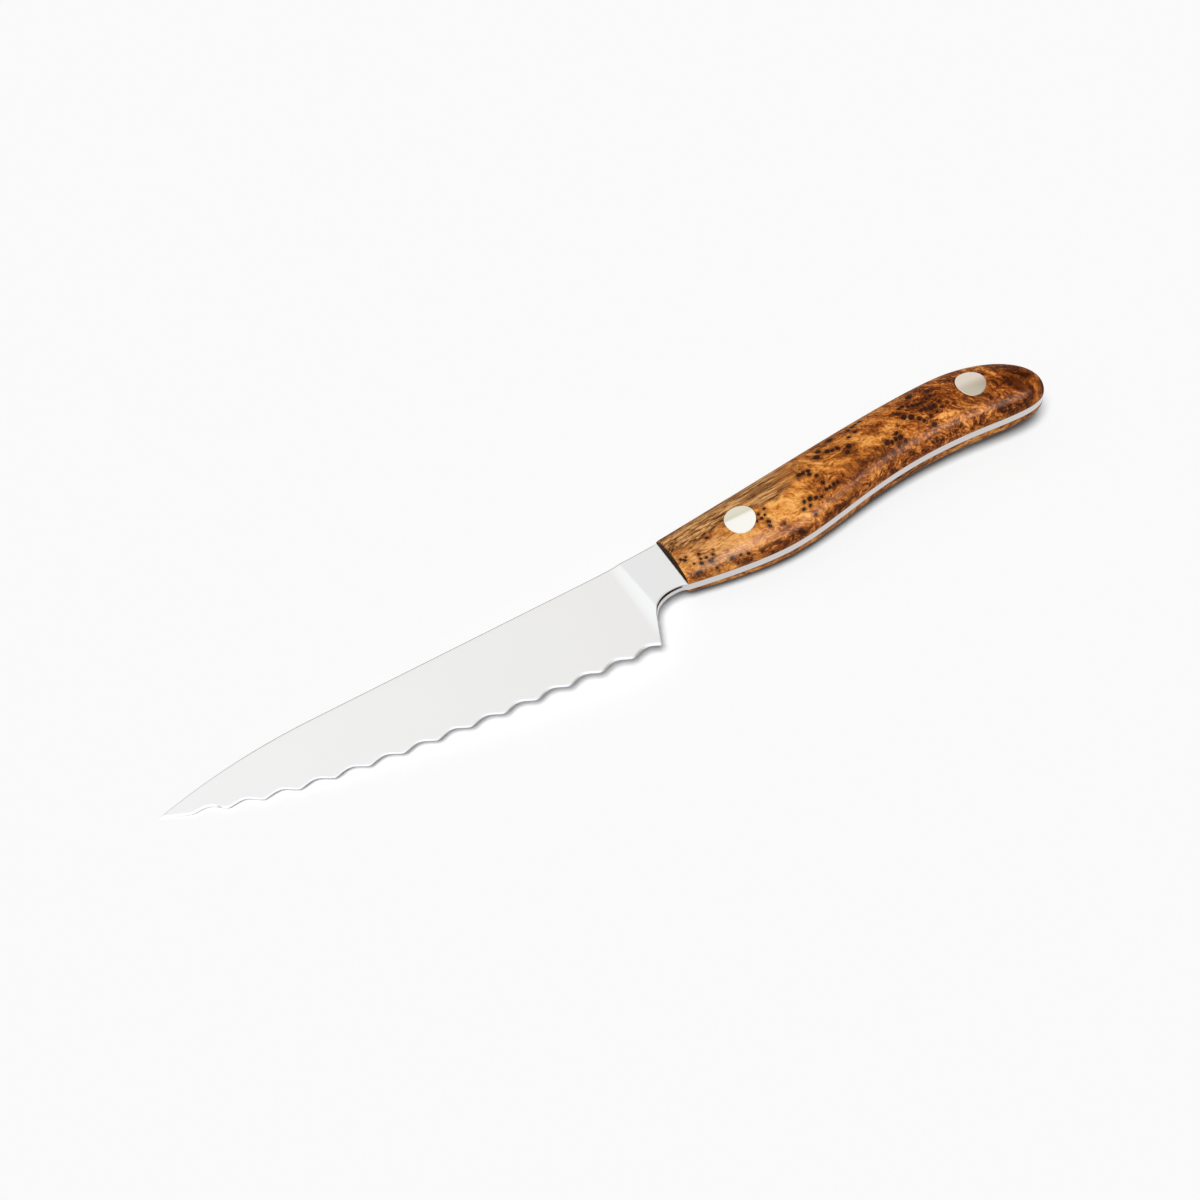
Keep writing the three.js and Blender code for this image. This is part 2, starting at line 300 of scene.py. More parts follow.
def drilled(mesh: bpy.types.Mesh, centres: list[Pair], radius: float, reach: float) -> None:
    """Drill round holes straight through a mesh.

    Args:
        mesh: Closed mesh to drill.
        centres: Hole centres in the plane of the steel, in millimetres.
        radius: Radius of the holes.
        reach: How far the drill reaches to both sides of the steel's mid-plane.
    """
    work = set_in_scene("work", mesh)
    faces = grid_faces(2, DRILL_STEPS)
    faces += [tuple(range(DRILL_STEPS)), tuple(range(DRILL_STEPS, 2 * DRILL_STEPS))]
    for centre in centres:
        ring = circle(centre, radius, DRILL_STEPS)
        ends = [np.column_stack([ring, np.full(DRILL_STEPS, height)]) for height in (-reach, reach)]
        drill = set_in_scene("drill", Blank(np.concatenate(ends), faces).mesh("drill"))
        cut = work.modifiers.new("cut", "BOOLEAN")
        cut.object = drill
        cut.solver = "EXACT"
        bpy.context.view_layer.update()
        shaped = bmesh.new()
        shaped.from_object(work, bpy.context.evaluated_depsgraph_get())
        work.modifiers.remove(cut)
        shaped.to_mesh(mesh)
        shaped.free()
        bpy.data.objects.remove(drill)
    bpy.data.objects.remove(work)


@dataclass(frozen=True)
class Cloud:
    """Cloud of noise: its closeness in each millimetre, its finer clouds, their strength and its weight."""

    scale: float
    detail: float = 2.0
    roughness: float = 0.5
    weight: float = 1.0


@dataclass(frozen=True)
class Fibres:
    """Layer of wood fibres: how close they lie along X, Y and Z, how strong they show, and finer ones."""

    closeness: Triple
    strength: float
    detail: float = 2.0

    ROUGHNESS = 0.6


class NodeBoard:
    """Places the nodes of one material or node group and joins them."""

    def __init__(self, tree: bpy.types.NodeTree) -> None:
        """Start on an empty board."""
        tree.nodes.clear()
        self.tree = tree

    def add(self, kind: str, inputs: dict[Any, Any] | None = None, **settings: Any) -> bpy.types.Node:
        """Place a node, set it up and feed its inputs.

        Args:
            kind: Type of the node.
            inputs: Values or sockets for its inputs, by name or number.
            settings: Other settings of the node.

        Returns:
            The node.
        """
        node = self.tree.nodes.new(kind)
        for name, value in settings.items():
            setattr(node, name, value)
        for key, value in (inputs or {}).items():
            self.feed(node.inputs[key], value)
        return node

    def feed(self, socket: Socket, value: Any) -> None:
        """Set an input to a value, or join it to another node's output.

        Args:
            socket: Input to set.
            value: Plain value, or output of another node.
        """
        if isinstance(value, bpy.types.NodeSocket):
            self.tree.links.new(value, socket)
        else:
            socket.default_value = value

    def math(self, operation: str, first: Any, second: Any = 0.0, third: Any = 0.0) -> Socket:
        """Work out a number.

        Args:
            operation: Name of the operation.
            first: First number or socket.
            second: Second number or socket.
            third: Third number or socket.

        Returns:
            The result.
        """
        node = self.add("ShaderNodeMath", {0: first, 1: second, 2: third}, operation=operation)
        return node.outputs[0]

    def weighed(self, value: Any, weight: Any, base: Any = 0.0) -> Socket:
        """Give a number times its weight, laid over a base."""
        return self.math("MULTIPLY_ADD", value, weight, base)

    def centred(self, value: Any) -> Socket:
        """Shift a number from around one half to around zero."""
        return self.math("SUBTRACT", value, 0.5)

    def vector(self, operation: str, first: Any, second: Any) -> Socket:
        """Work out a vector from two."""
        node = self.add("ShaderNodeVectorMath", {0: first, 1: second}, operation=operation)
        return node.outputs[0]

    def scaled(self, vector: Any, factor: Any) -> Socket:
        """Scale a vector by a number."""
        node = self.add("ShaderNodeVectorMath", {0: vector, "Scale": factor}, operation="SCALE")
        return node.outputs[0]

    def ease(self, value: Any, start: Any, end: Any, low: float = 0.0, high: float = 1.0) -> Socket:
        """Ease a number from one level to another as a value passes over a range.

        Args:
            value: Value that passes over the range.
            start: Where the range starts.
            end: Where it ends.
            low: Level at its start.
            high: Level at its end.

        Returns:
            The eased number.
        """
        inputs = {"Value": value, "From Min": start, "From Max": end, "To Min": low, "To Max": high}
        return self.add("ShaderNodeMapRange", inputs, interpolation_type="SMOOTHSTEP").outputs[0]

    def noise(self, place: Any, cloud: Cloud) -> bpy.types.Node:
        """Place a cloud of noise.

        Args:
            place: Where to read it.
            cloud: Its closeness and finer clouds.

        Returns:
            The noise node, with a value and a colour to read.
        """
        inputs = {"Scale": cloud.scale, "Detail": cloud.detail, "Roughness": cloud.roughness}
        return self.add("ShaderNodeTexNoise", {"Vector": place, **inputs})

    def fibres(self, flow: Any, layer: Fibres) -> Socket:
        """Lay down one layer of fibres.

        Args:
            flow: Place along and across the fibres.
            layer: How they lie.

        Returns:
            Their lightness around zero.
        """
        drawn = self.vector("MULTIPLY", flow, layer.closeness)
        return self.centred(self.noise(drawn, Cloud(1.0, layer.detail, layer.ROUGHNESS)).outputs[0])

    def mixed(self, factor: Any, first: Any, second: Any, blend: str = "MIX") -> Socket:
        """Mix two colours.

        Args:
            factor: Share of the second colour.
            first: First colour.
            second: Second colour.
            blend: Way of mixing.

        Returns:
            The mixed colour.
        """
        inputs = {0: factor, 6: first, 7: second}
        return self.add("ShaderNodeMix", inputs, data_type="RGBA", blend_type=blend).outputs[2]

    def ramp(self, value: Any, *stops: tuple[float, Colour]) -> Socket:
        """Turn a value into a colour.

        Args:
            value: Value from 0 to 1.
            stops: Places on the ramp with their colours, in order.

        Returns:
            The colour.
        """
        node = self.add("ShaderNodeValToRGB", {0: value})
        elements = node.color_ramp.elements
        while len(elements) < len(stops):
            elements.new(1.0)
        for element, (place, colour) in zip(elements, stops):
            element.position = place
            element.color = colour
        return node.outputs[0]

    def group(self, tree: bpy.types.NodeTree, inputs: dict[str, Any] | None = None) -> bpy.types.Node:
        """Place a node group and feed its inputs."""
        return self.add("ShaderNodeGroup", inputs, node_tree=tree)


def start_group(name: str, inputs: dict[str, str], outputs: dict[str, str]) -> tuple[NodeBoard, Any, Any]:
    """Start a node group with named sockets.

    Args:
        name: Name of the group.
        inputs: Socket kinds by input name.
        outputs: Socket kinds by output name.

    Returns:
        Its board, its input node and its output node.
    """
    tree = bpy.data.node_groups.new(name, "ShaderNodeTree")
    for direction, sockets in (("INPUT", inputs), ("OUTPUT", outputs)):
        for socket, kind in sockets.items():
            tree.interface.new_socket(socket, in_out=direction, socket_type=f"NodeSocket{kind}")
    board = NodeBoard(tree)
    return board, board.add("NodeGroupInput"), board.add("NodeGroupOutput")


@dataclass(frozen=True)
class BurlFigure:
    """Figure of the burl: fibres that wander, darken where buds crowd and run straight in sound wood."""

    sway: Cloud = Cloud(0.055, 2.0, 0.5, 14.0)
    curl: Cloud = Cloud(0.2, 3.0, 0.55, 4.5)
    crimp: Cloud = Cloud(1.1, 2.0, 0.6, 0.4)
    lean: float = 0.45
    sweep_start: float = 215.0
    sweep: float = 0.012
    broad: Fibres = Fibres((0.05, 0.14, 0.14), 1.0)
    mottle: Fibres = Fibres((0.25, 0.5, 0.5), 0.85)
    strand: Fibres = Fibres((0.12, 0.9, 0.9), 0.5)
    fibre: Fibres = Fibres((0.4, 2.2, 2.2), 0.65)
    speckle: Fibres = Fibres((1.1, 1.3, 1.3), 0.3)
    strand_in_crowd: float = -0.4
    speckle_in_crowd: float = 0.9
    contrast_in_crowd: float = 0.3
    level: float = 0.478
    level_in_crowd: float = -0.06
    tone_weight: float = 0.3
    shade_in_crowd: float = -0.5
    shade_range: Pair = (0.1, -0.9)
    shade: Colour = (1.0, 0.9, 0.86, 1.0)
    colours: tuple[tuple[float, Colour], ...] = (
        (0.02, srgb(48, 21, 6)),
        (0.2, srgb(84, 41, 15)),
        (0.37, srgb(123, 66, 24)),
        (0.52, srgb(167, 98, 40)),
        (0.68, srgb(198, 130, 60)),
        (0.92, srgb(222, 164, 93)),
    )
    straight_crimp: float = 2.0
    straight_wander: float = 0.14
    straight_level: float = 0.5
    straight_tone_weight: float = 0.25
    straight_layers: tuple[Fibres, ...] = (
        Fibres((0.02, 1.0, 1.0), 2.1, 3.0),
        Fibres((0.07, 3.2, 3.2), 1.8),
        Fibres((0.5, 2.0, 2.0), 0.7),
    )
    straight_colours: tuple[tuple[float, Colour], ...] = (
        (0.05, srgb(64, 37, 17)),
        (0.3, srgb(120, 78, 43)),
        (0.5, srgb(158, 107, 61)),
        (0.8, srgb(206, 156, 100)),
    )

    def group(self) -> bpy.types.NodeTree:
        """Build the figure as a node group.

        Returns:
            The group, with the colour of the wood and the lightness of its fibres.
        """
        board, given, out = start_group(
            "burl figure",
            {"Place": "Vector", "Crowd": "Float", "Straight": "Float", "Tone": "Float"},
            {"Colour": "Color", "Fibre": "Float"},
        )
        place = given.outputs["Place"]
        sway, curl, crimp = (self._stray(board, place, cloud) for cloud in (self.sway, self.curl, self.crimp))
        swayed = board.scaled(sway, self.sway.weight)
        wander = board.vector("ADD", swayed, board.scaled(curl, self.curl.weight))
        bent = board.vector("ADD", board.vector("ADD", place, wander), board.scaled(crimp, self.crimp.weight))
        burl, fibre = self._burl(board, bent, given.outputs["Crowd"], given.outputs["Tone"])
        stray = board.vector("ADD", wander, board.scaled(crimp, self.straight_crimp))
        drawn = board.vector("ADD", place, board.scaled(stray, self.straight_wander))
        grain = board.weighed(given.outputs["Tone"], self.straight_tone_weight, self.straight_level)
        for layer in self.straight_layers:
            grain = board.weighed(board.fibres(drawn, layer), layer.strength, grain)
        sound = board.ramp(grain, *self.straight_colours)
        board.feed(out.inputs["Colour"], board.mixed(given.outputs["Straight"], burl, sound))
        board.feed(out.inputs["Fibre"], board.math("ADD", fibre, 0.5))
        return board.tree

    @staticmethod
    def _stray(board: NodeBoard, place: Any, cloud: Cloud) -> Socket:
        """Give how fibres stray from their course, as a vector around zero."""
        return board.vector("SUBTRACT", board.noise(place, cloud).outputs[1], (0.5, 0.5, 0.5))

    def _flow(self, board: NodeBoard, bent: Any) -> Socket:
        """Lean the fibres towards the spine and sweep them round the butt.

        Args:
            board: Board to work on.
            bent: Place with the stray of the fibres.

        Returns:
            Place along and across the fibres.
        """
        along, across, through = board.add("ShaderNodeSeparateXYZ", {0: bent}).outputs
        height = board.weighed(along, self.lean, across)
        near_butt = board.math("MAXIMUM", board.math("SUBTRACT", along, self.sweep_start), 0.0)
        height = board.weighed(board.math("MULTIPLY", near_butt, near_butt), self.sweep, height)
        return board.add("ShaderNodeCombineXYZ", {0: along, 1: height, 2: through}).outputs[0]

    def _burl(self, board: NodeBoard, bent: Any, crowd: Socket, tone: Socket) -> tuple[Socket, Socket]:
        """Lay the layers of the burl over each other and colour them.

        Args:
            board: Board to work on.
            bent: Place with the stray of the fibres.
            crowd: How much buds crowd here.
            tone: How light or dark the wood is here.

        Returns:
            The colour of the burl and the lightness of its fibres around zero.
        """
        flow = self._flow(board, bent)
        fibre = board.fibres(flow, self.fibre)
        long = board.weighed(crowd, self.strand_in_crowd, self.strand.strength)
        short = board.weighed(crowd, self.speckle_in_crowd, self.speckle.strength)
        layers = (
            (board.fibres(flow, self.mottle), self.mottle.strength),
            (board.fibres(flow, self.strand), long),
            (fibre, self.fibre.strength),
            (board.fibres(bent, self.speckle), short),
        )
        depth = board.weighed(board.fibres(flow, self.broad), self.broad.strength)
        for layer, strength in layers:
            depth = board.weighed(layer, strength, depth)
        depth = board.math("MULTIPLY", depth, board.weighed(crowd, self.contrast_in_crowd, 1.0))
        depth = board.weighed(tone, self.tone_weight, board.math("ADD", depth, self.level))
        depth = board.weighed(crowd, self.level_in_crowd, depth)
        shaded = board.ease(board.weighed(crowd, self.shade_in_crowd, tone), *self.shade_range)
        return board.mixed(shaded, board.ramp(depth, *self.colours), self.shade, "MULTIPLY"), fibre


class Effects:
    """Node groups that several finishes share, each built once."""

    COARSE_LINES = Cloud(0.6, 2.0, 0.6, 0.55)
    FINE_LINES = Cloud(2.3, 1.0, 0.5, 0.45)
    WIPED = Cloud(0.07, 3.0, 0.6)
    SPECKS = Cloud(1.4, 2.0, 0.7, 0.15)

    def __init__(self) -> None:
        """Build the groups."""
        self.place = self._place()
        self.lines = self._lines()
        self.handling = self._handling()
        self.figure = BurlFigure().group()

    @staticmethod
    def _place() -> bpy.types.NodeTree:
        """Give the place on the knife in millimetres, with the tip as origin and X to the butt.

        Returns:
            The group.
        """
        board, _, out = start_group("place on the knife", {}, {"Place": "Vector"})
        inputs = {
            "Vector": board.add("ShaderNodeTexCoord").outputs["Object"],
            "Location": RESTING.back_shift(),
            "Rotation": (0.0, RESTING.pitch, 0.0),
            "Scale": (1 / MM, 1 / MM, 1 / MM),
        }
        board.feed(out.inputs["Place"], board.add("ShaderNodeMapping", inputs).outputs[0])
        return board.tree

    def _lines(self) -> bpy.types.NodeTree:
        """Give fine grinding lines, long in one direction.

        Returns:
            The group, with a depth around one half.
        """
        sockets = {"Place": "Vector", "Closeness": "Vector"}
        board, given, out = start_group("grinding lines", sockets, {"Depth": "Float"})
        drawn = board.vector("MULTIPLY", given.outputs["Place"], given.outputs["Closeness"])
        depth: Any = 0.0
        for cloud in (self.COARSE_LINES, self.FINE_LINES):
            depth = board.weighed(board.noise(drawn, cloud).outputs[0], cloud.weight, depth)
        board.feed(out.inputs["Depth"], depth)
        return board.tree

    def _handling(self) -> bpy.types.NodeTree:
        """Give the faint cloudiness that wiping and handling leave on a polish.

        Returns:
            The group, with a haze around one half.
        """
        board, given, out = start_group("wiped polish", {"Place": "Vector"}, {"Haze": "Float"})
        wiped, specks = (
            board.noise(given.outputs["Place"], cloud).outputs[0] for cloud in (self.WIPED, self.SPECKS)
        )
        board.feed(out.inputs["Haze"], board.weighed(board.centred(specks), self.SPECKS.weight, wiped))
        return board.tree


class FinishBoard(NodeBoard):
    """Board on which one finish is mixed, with the place on the knife at hand."""

    def __init__(self, name: str, effects: Effects) -> None:
        """Start a finish.

        Args:
            name: Name of the finish.
            effects: Shared node groups.
        """
        self.material = bpy.data.materials.new(name)
        self.material.use_nodes = True
        super().__init__(self.material.node_tree)
        self.effects = effects
        self.place = self.group(effects.place).outputs["Place"]

    def haze(self) -> Socket:
        """Give the cloudiness that wiping leaves on this finish."""
        return self.group(self.effects.handling, {"Place": self.place}).outputs["Haze"]

    def finished(
        self, colour: Socket, rough: Socket, height: Socket, depth: float, **level: float
    ) -> bpy.types.Material:
        """Close the finish with its shader.

        Args:
            colour: Colour of the surface.
            rough: Its roughness.
            height: Fine relief of the surface, from 0 to 1.
            depth: Depth of that relief in millimetres.
            level: Constant levels of the shader, by socket name with underscores.

        Returns:
            The finished material.
        """
        bump = self.add("ShaderNodeBump", {"Height": height, "Distance": depth * MM, "Strength": 1.0})
        inputs = {"Base Color": colour, "Roughness": rough, "Normal": bump.outputs[0]}
        inputs.update({name.replace("_", " "): value for name, value in level.items()})
        shader = self.add("ShaderNodeBsdfPrincipled", inputs)
        self.add("ShaderNodeOutputMaterial", {"Surface": shader.outputs[0]})
        return self.material


@dataclass(frozen=True)
class GroundMetal:
    """Metal that is ground to a satin or polished, with fine lines."""

    name: str
    lines: Lines
    colour: Colour
    roughness: float
    roughness_play: float
    line_depth: float
    streaks: float

    def material(self, effects: Effects) -> bpy.types.Material:
        """Mix the finish.

        Args:
            effects: Shared node groups.

        Returns:
            The material.
        """
        board = FinishBoard(self.name, effects)
        drawn = {"Place": board.place, "Closeness": self.lines.value}
        lines = board.group(effects.lines, drawn).outputs["Depth"]
        streak = board.weighed(board.centred(lines), self.streaks, 1.0)
        grey = board.add("ShaderNodeCombineXYZ", {0: streak, 1: streak, 2: streak}).outputs[0]
        tint = board.mixed(1.0, self.colour, grey, "MULTIPLY")
        rough = board.weighed(board.centred(board.haze()), self.roughness_play, self.roughness)
        return board.finished(tint, rough, lines, self.line_depth, Metallic=1.0)


class SteelPart(Enum):
    """Part of the steel that has a finish of its own, in the order of the material slots."""

    FACES = GroundMetal("satin_steel_faces", Lines.ACROSS, srgb(253, 255, 255), 0.48, 0.05, 0.0012, 0.05)
    SIDES = GroundMetal("satin_steel_sides", Lines.ALONG, srgb(208, 202, 199), 0.12, 0.05, 0.0006, 0.2)
    HONED = GroundMetal("honed_steel_edge", Lines.ACROSS, srgb(253, 253, 253), 0.3, 0.06, 0.001, 0.05)
    STOCK = GroundMetal("satin_steel_ricasso", Lines.ACROSS, srgb(250, 254, 255), 0.5, 0.05, 0.001, 0.05)
    # Eased spine edge: its steel is painted dark, a painted reflection line along the spine.
    EASED = GroundMetal("eased_spine_painted_dark", Lines.ALONG, srgb(122, 120, 118), 0.3, 0.05, 0.0006, 0.12)


RIVET_POLISH = GroundMetal(
    "polished_nickel_silver", Lines.CROSSED, srgb(236, 232, 218), 0.1, 0.06, 0.0008, 0.04
)


@dataclass(frozen=True)
class Burl:
    """Burl scales under a polished clear finish."""

    name: str = "polished_burl"
    ragged: Cloud = Cloud(1.6, 2.0, 0.6, 0.75)
    core: Pair = (1.18, 0.8)
    halo: Pair = (2.7, 0.95)
    halo_strength: float = 0.58
    halo_colour: Colour = srgb(88, 40, 11)
    core_colours: tuple[tuple[float, Colour], ...] = ((0.3, srgb(20, 9, 5)), (0.7, srgb(60, 32, 21)))
    roughness: float = 0.3
    roughness_play: float = 0.1
    fibre_depth: float = 0.012
    polish: float = 0.12
    gloss: float = 0.27
    polish_ior: float = 1.5

    def material(self, effects: Effects) -> bpy.types.Material:
        """Mix the finish.

        Args:
            effects: Shared node groups.

        Returns:
            The material.
        """
        board = FinishBoard(self.name, effects)
        buds, crowd, straight, tone = (
            board.add("ShaderNodeAttribute", attribute_name=name).outputs["Fac"]
            for name in (Scale.BUDS, Scale.CROWD, Scale.STRAIGHT, Scale.TONE)
        )
        ragged = board.centred(board.noise(board.place, self.ragged).outputs[0])
        share = board.weighed(ragged, self.ragged.weight, buds)
        core = board.ease(share, *self.core)
        halo = board.weighed(board.ease(share, *self.halo), self.halo_strength)
        given = {"Place": board.place, "Crowd": crowd, "Straight": straight, "Tone": tone}
        figure = board.group(effects.figure, given).outputs
        wood = board.mixed(halo, figure["Colour"], self.halo_colour)
        wood = board.mixed(core, wood, board.ramp(figure["Fibre"], *self.core_colours))
        rough = board.weighed(board.haze(), self.roughness_play, self.roughness)
        polish = {"Coat_Weight": self.polish, "Coat_Roughness": self.gloss, "Coat_IOR": self.polish_ior}
        polish["Specular_IOR_Level"] = 0.0
        return board.finished(wood, rough, figure["Fibre"], self.fibre_depth, **polish)


@dataclass(frozen=True)
class EndGrain:
    """Dark end grain on the front of the scales."""

    name: str = "dark_end_grain"
    straight: float = 0.5
    tone: float = -0.9
    pores: Cloud = Cloud(3.2, 2.0, 0.6)
    pore_range: Pair = (0.35, 0.65)
    darkness: Pair = (0.7, 0.95)
    colour: Colour = srgb(14, 8, 3)
    roughness: float = 0.35
    roughness_play: float = 0.2
    pore_depth: float = 0.03
    shine: float = 0.04

    def material(self, effects: Effects) -> bpy.types.Material:
        """Mix the finish.

        Args:
            effects: Shared node groups.

        Returns:
            The material.
        """
        board = FinishBoard(self.name, effects)
        given = {"Place": board.place, "Straight": self.straight, "Tone": self.tone}
        figure = board.group(effects.figure, given).outputs["Colour"]
        pores = board.noise(board.place, self.pores).outputs[0]
        dark = board.mixed(board.ease(pores, *self.pore_range, *self.darkness), figure, self.colour)
        rough = board.weighed(pores, self.roughness_play, self.roughness)
        return board.finished(dark, rough, pores, self.pore_depth, Specular_IOR_Level=self.shine)


@dataclass(frozen=True)
class HardGlue:
    """Hardened glue line, dark with wood dust."""

    name: str = "hard_glue"
    dust: Cloud = Cloud(2.5, 3.0, 0.6)
    colours: tuple[tuple[float, Colour], ...] = ((0.3, srgb(24, 13, 8)), (0.7, srgb(54, 32, 19)))
    roughness: float = 0.35
    roughness_play: float = 0.2
    dust_depth: float = 0.02
    shine: float = 0.2

    def material(self, effects: Effects) -> bpy.types.Material:
        """Mix the finish.

        Args:
            effects: Shared node groups.

        Returns:
            The material.
        """
        board = FinishBoard(self.name, effects)
        dust = board.noise(board.place, self.dust).outputs[0]
        colour = board.ramp(dust, *self.colours)
        rough = board.weighed(board.haze(), self.roughness_play, self.roughness)
        return board.finished(colour, rough, dust, self.dust_depth, Specular_IOR_Level=self.shine)


@dataclass(frozen=True)
class HandleLines:
    """Outline of the handle and the crown of its scales, in millimetres."""

    front: float = 139.7
    length: float = 110.8
    front_belly_drop: float = 8.85
    front_belly_slope: float = 0.2
    front_belly_lead: float = 8.7
    swell_from_front: float = 26.9
    swell_drop: float = 12.3
    swell_lead_front: float = 7.7
    swell_lead_rear: float = 14.6
    waist_from_butt: float = 33.3
    waist_drop: float = 6.1
    waist_lead_front: float = 22.8
    waist_lead_rear: float = 11.6
    beak_from_butt: float = 8.4
    beak_drop: float = 7.55
    beak_lead_front: float = 7.0
    beak_lead_rear: float = 7.1
    butt_drop: float = 2.7
    butt_lead_belly: float = 2.0
    butt_lead_spine: float = 7.2
    crest_from_butt: float = 26.6
    crest_rise: float = 12.2
    crest_lead_front: float = 24.9
    crest_lead_rear: float = 15.8
    spine_rise_start: Pair = (118.1, 5.75)
    spine_rise_lead: float = 37.5
    crown_at_front: float = 3.4
    crown_front_slope: float = 0.26
    crown_front_lead: float = 18.4
    crown_height: float = 8.2
    crown_from_butt: float = 44.8
    crown_lead_front: float = 24.8
    crown_lead_rear: float = 35.0
    crown_lead_butt: float = 7.9
    front_edge_radius: float = 0.7
    scale_back: float = 1.3
    spine: Course = field(init=False)
    belly: Course = field(init=False)
    crest_line: Course = field(init=False)

    LEAST = 1e-4
    LEAST_SLOPE = 1e-9
    PROBE = 0.01

    def __post_init__(self) -> None:
        """Draw the outlines from the sizes."""
        end = self.end
        crest = (end - self.crest_from_butt, self.crest_rise)
        butt = (end, -self.butt_drop)
        spine = Course(
            bend_between(self.spine_rise_start, (self.spine_rise_lead, 0), crest, (self.crest_lead_front, 0)),
            bend_between(crest, (self.crest_lead_rear, 0), butt, (0, -self.butt_lead_spine)),
        )
        first = (self.front, -self.front_belly_drop)
        swell = (self.front + self.swell_from_front, -self.swell_drop)
        waist = (end - self.waist_from_butt, -self.waist_drop)
        beak = (end - self.beak_from_butt, -self.beak_drop)
        fall = self.front_belly_slope * self.front_belly_lead
        belly = Course(
            bend_between(first, (self.front_belly_lead, -fall), swell, (self.swell_lead_front, 0)),
            bend_between(swell, (self.swell_lead_rear, 0), waist, (self.waist_lead_front, 0)),
            bend_between(waist, (self.waist_lead_rear, 0), beak, (self.beak_lead_front, 0)),
            bend_between(beak, (self.beak_lead_rear, 0), butt, (0, self.butt_lead_belly)),
        )
        start = (self.front, self.crown_at_front)
        peak = (end - self.crown_from_butt, self.crown_height)
        climb = self.crown_front_slope * self.crown_front_lead
        crest_line = Course(
            bend_between(start, (self.crown_front_lead, climb), peak, (self.crown_lead_front, 0)),
            bend_between(peak, (self.crown_lead_rear, 0), (end, 0.0), (0, -self.crown_lead_butt)),
        )
        for name, line in (("spine", spine), ("belly", belly), ("crest_line", crest_line)):
            object.__setattr__(self, name, line)

    @property
    def end(self) -> float:
        """Give the station of the butt."""
        return self.front + self.length

    def crown(self, x: Array) -> Array:
        """Give the height of a scale over its back, with its front edge rounded over.

        Args:
            x: Stations.

        Returns:
            The heights.
        """
        before = np.clip(self.front_edge_radius - (x - self.front), 0, self.front_edge_radius)
        rounded = self.front_edge_radius - np.sqrt(self.front_edge_radius**2 - before**2)
        return self.crest_line.height(x) - rounded

    def oval(self, x: Array) -> tuple[Array, Array]:
        """Give the middle and the half width of the handle's oval.

        Args:
            x: Stations.

        Returns:
            The heights of its middle and its half widths.
        """
        spine = self.spine.height(x)
        belly = self.belly.height(x)
        return (spine + belly) / 2, np.maximum((spine - belly) / 2, self.LEAST)

    def section(self, x: Array) -> tuple[Array, Array, Array]:
        """Give the middle, the half width and the crown of the handle's oval at these stations."""
        return (*self.oval(x), np.maximum(self.crown(x), self.LEAST))

    def surface(self, x: Array, turn: Array) -> Array:
        """Give points on the left scale.

        Args:
            x: Stations.
            turn: Turns round the oval, from 0 at the belly to pi at the spine.

        Returns:
            The points, with a last axis of three.
        """
        middle, half = self.oval(x)
        height = self.scale_back + self.crown(x) * np.sin(turn)
        return np.stack([x + 0 * turn, middle - half * np.cos(turn), height], -1)

    def above(self, x: Array, y: Array) -> Array:
        """Give the height of the left scale over points in the plane of the steel.

        Args:
            x: Stations of the points.
            y: Heights of the points.

        Returns:
            How far the scale reaches out there.
        """
        middle, half = self.oval(x)
        inside = np.clip(1 - ((y - middle) / half) ** 2, 0, 1)
        return self.scale_back + self.crown(x) * np.sqrt(inside)

    def outward(self, points: Array) -> Array:
        """Give the directions that stand square on the left scale.

        Args:
            points: Points on the scale, one row each.

        Returns:
            The directions, of length one.
        """
        y, z = points[:, 1], points[:, 2] - self.scale_back

        def oval_level(x: Array) -> Array:
            """Give how far the points lie inside or outside the oval at these stations."""
            middle, half, crown = self.section(np.clip(x, self.front, self.end))
            return ((y - middle) / half) ** 2 + (z / crown) ** 2

        x = np.clip(points[:, 0], self.front + self.PROBE, self.end - self.PROBE)
        middle, half, crown = self.section(x)
        along = (oval_level(x + self.PROBE) - oval_level(x - self.PROBE)) / (2 * self.PROBE)
        slope = np.stack([along, 2 * (y - middle) / half**2, 2 * z / crown**2], 1)
        return slope / np.maximum(np.linalg.norm(slope, axis=1), self.LEAST_SLOPE)[:, None]


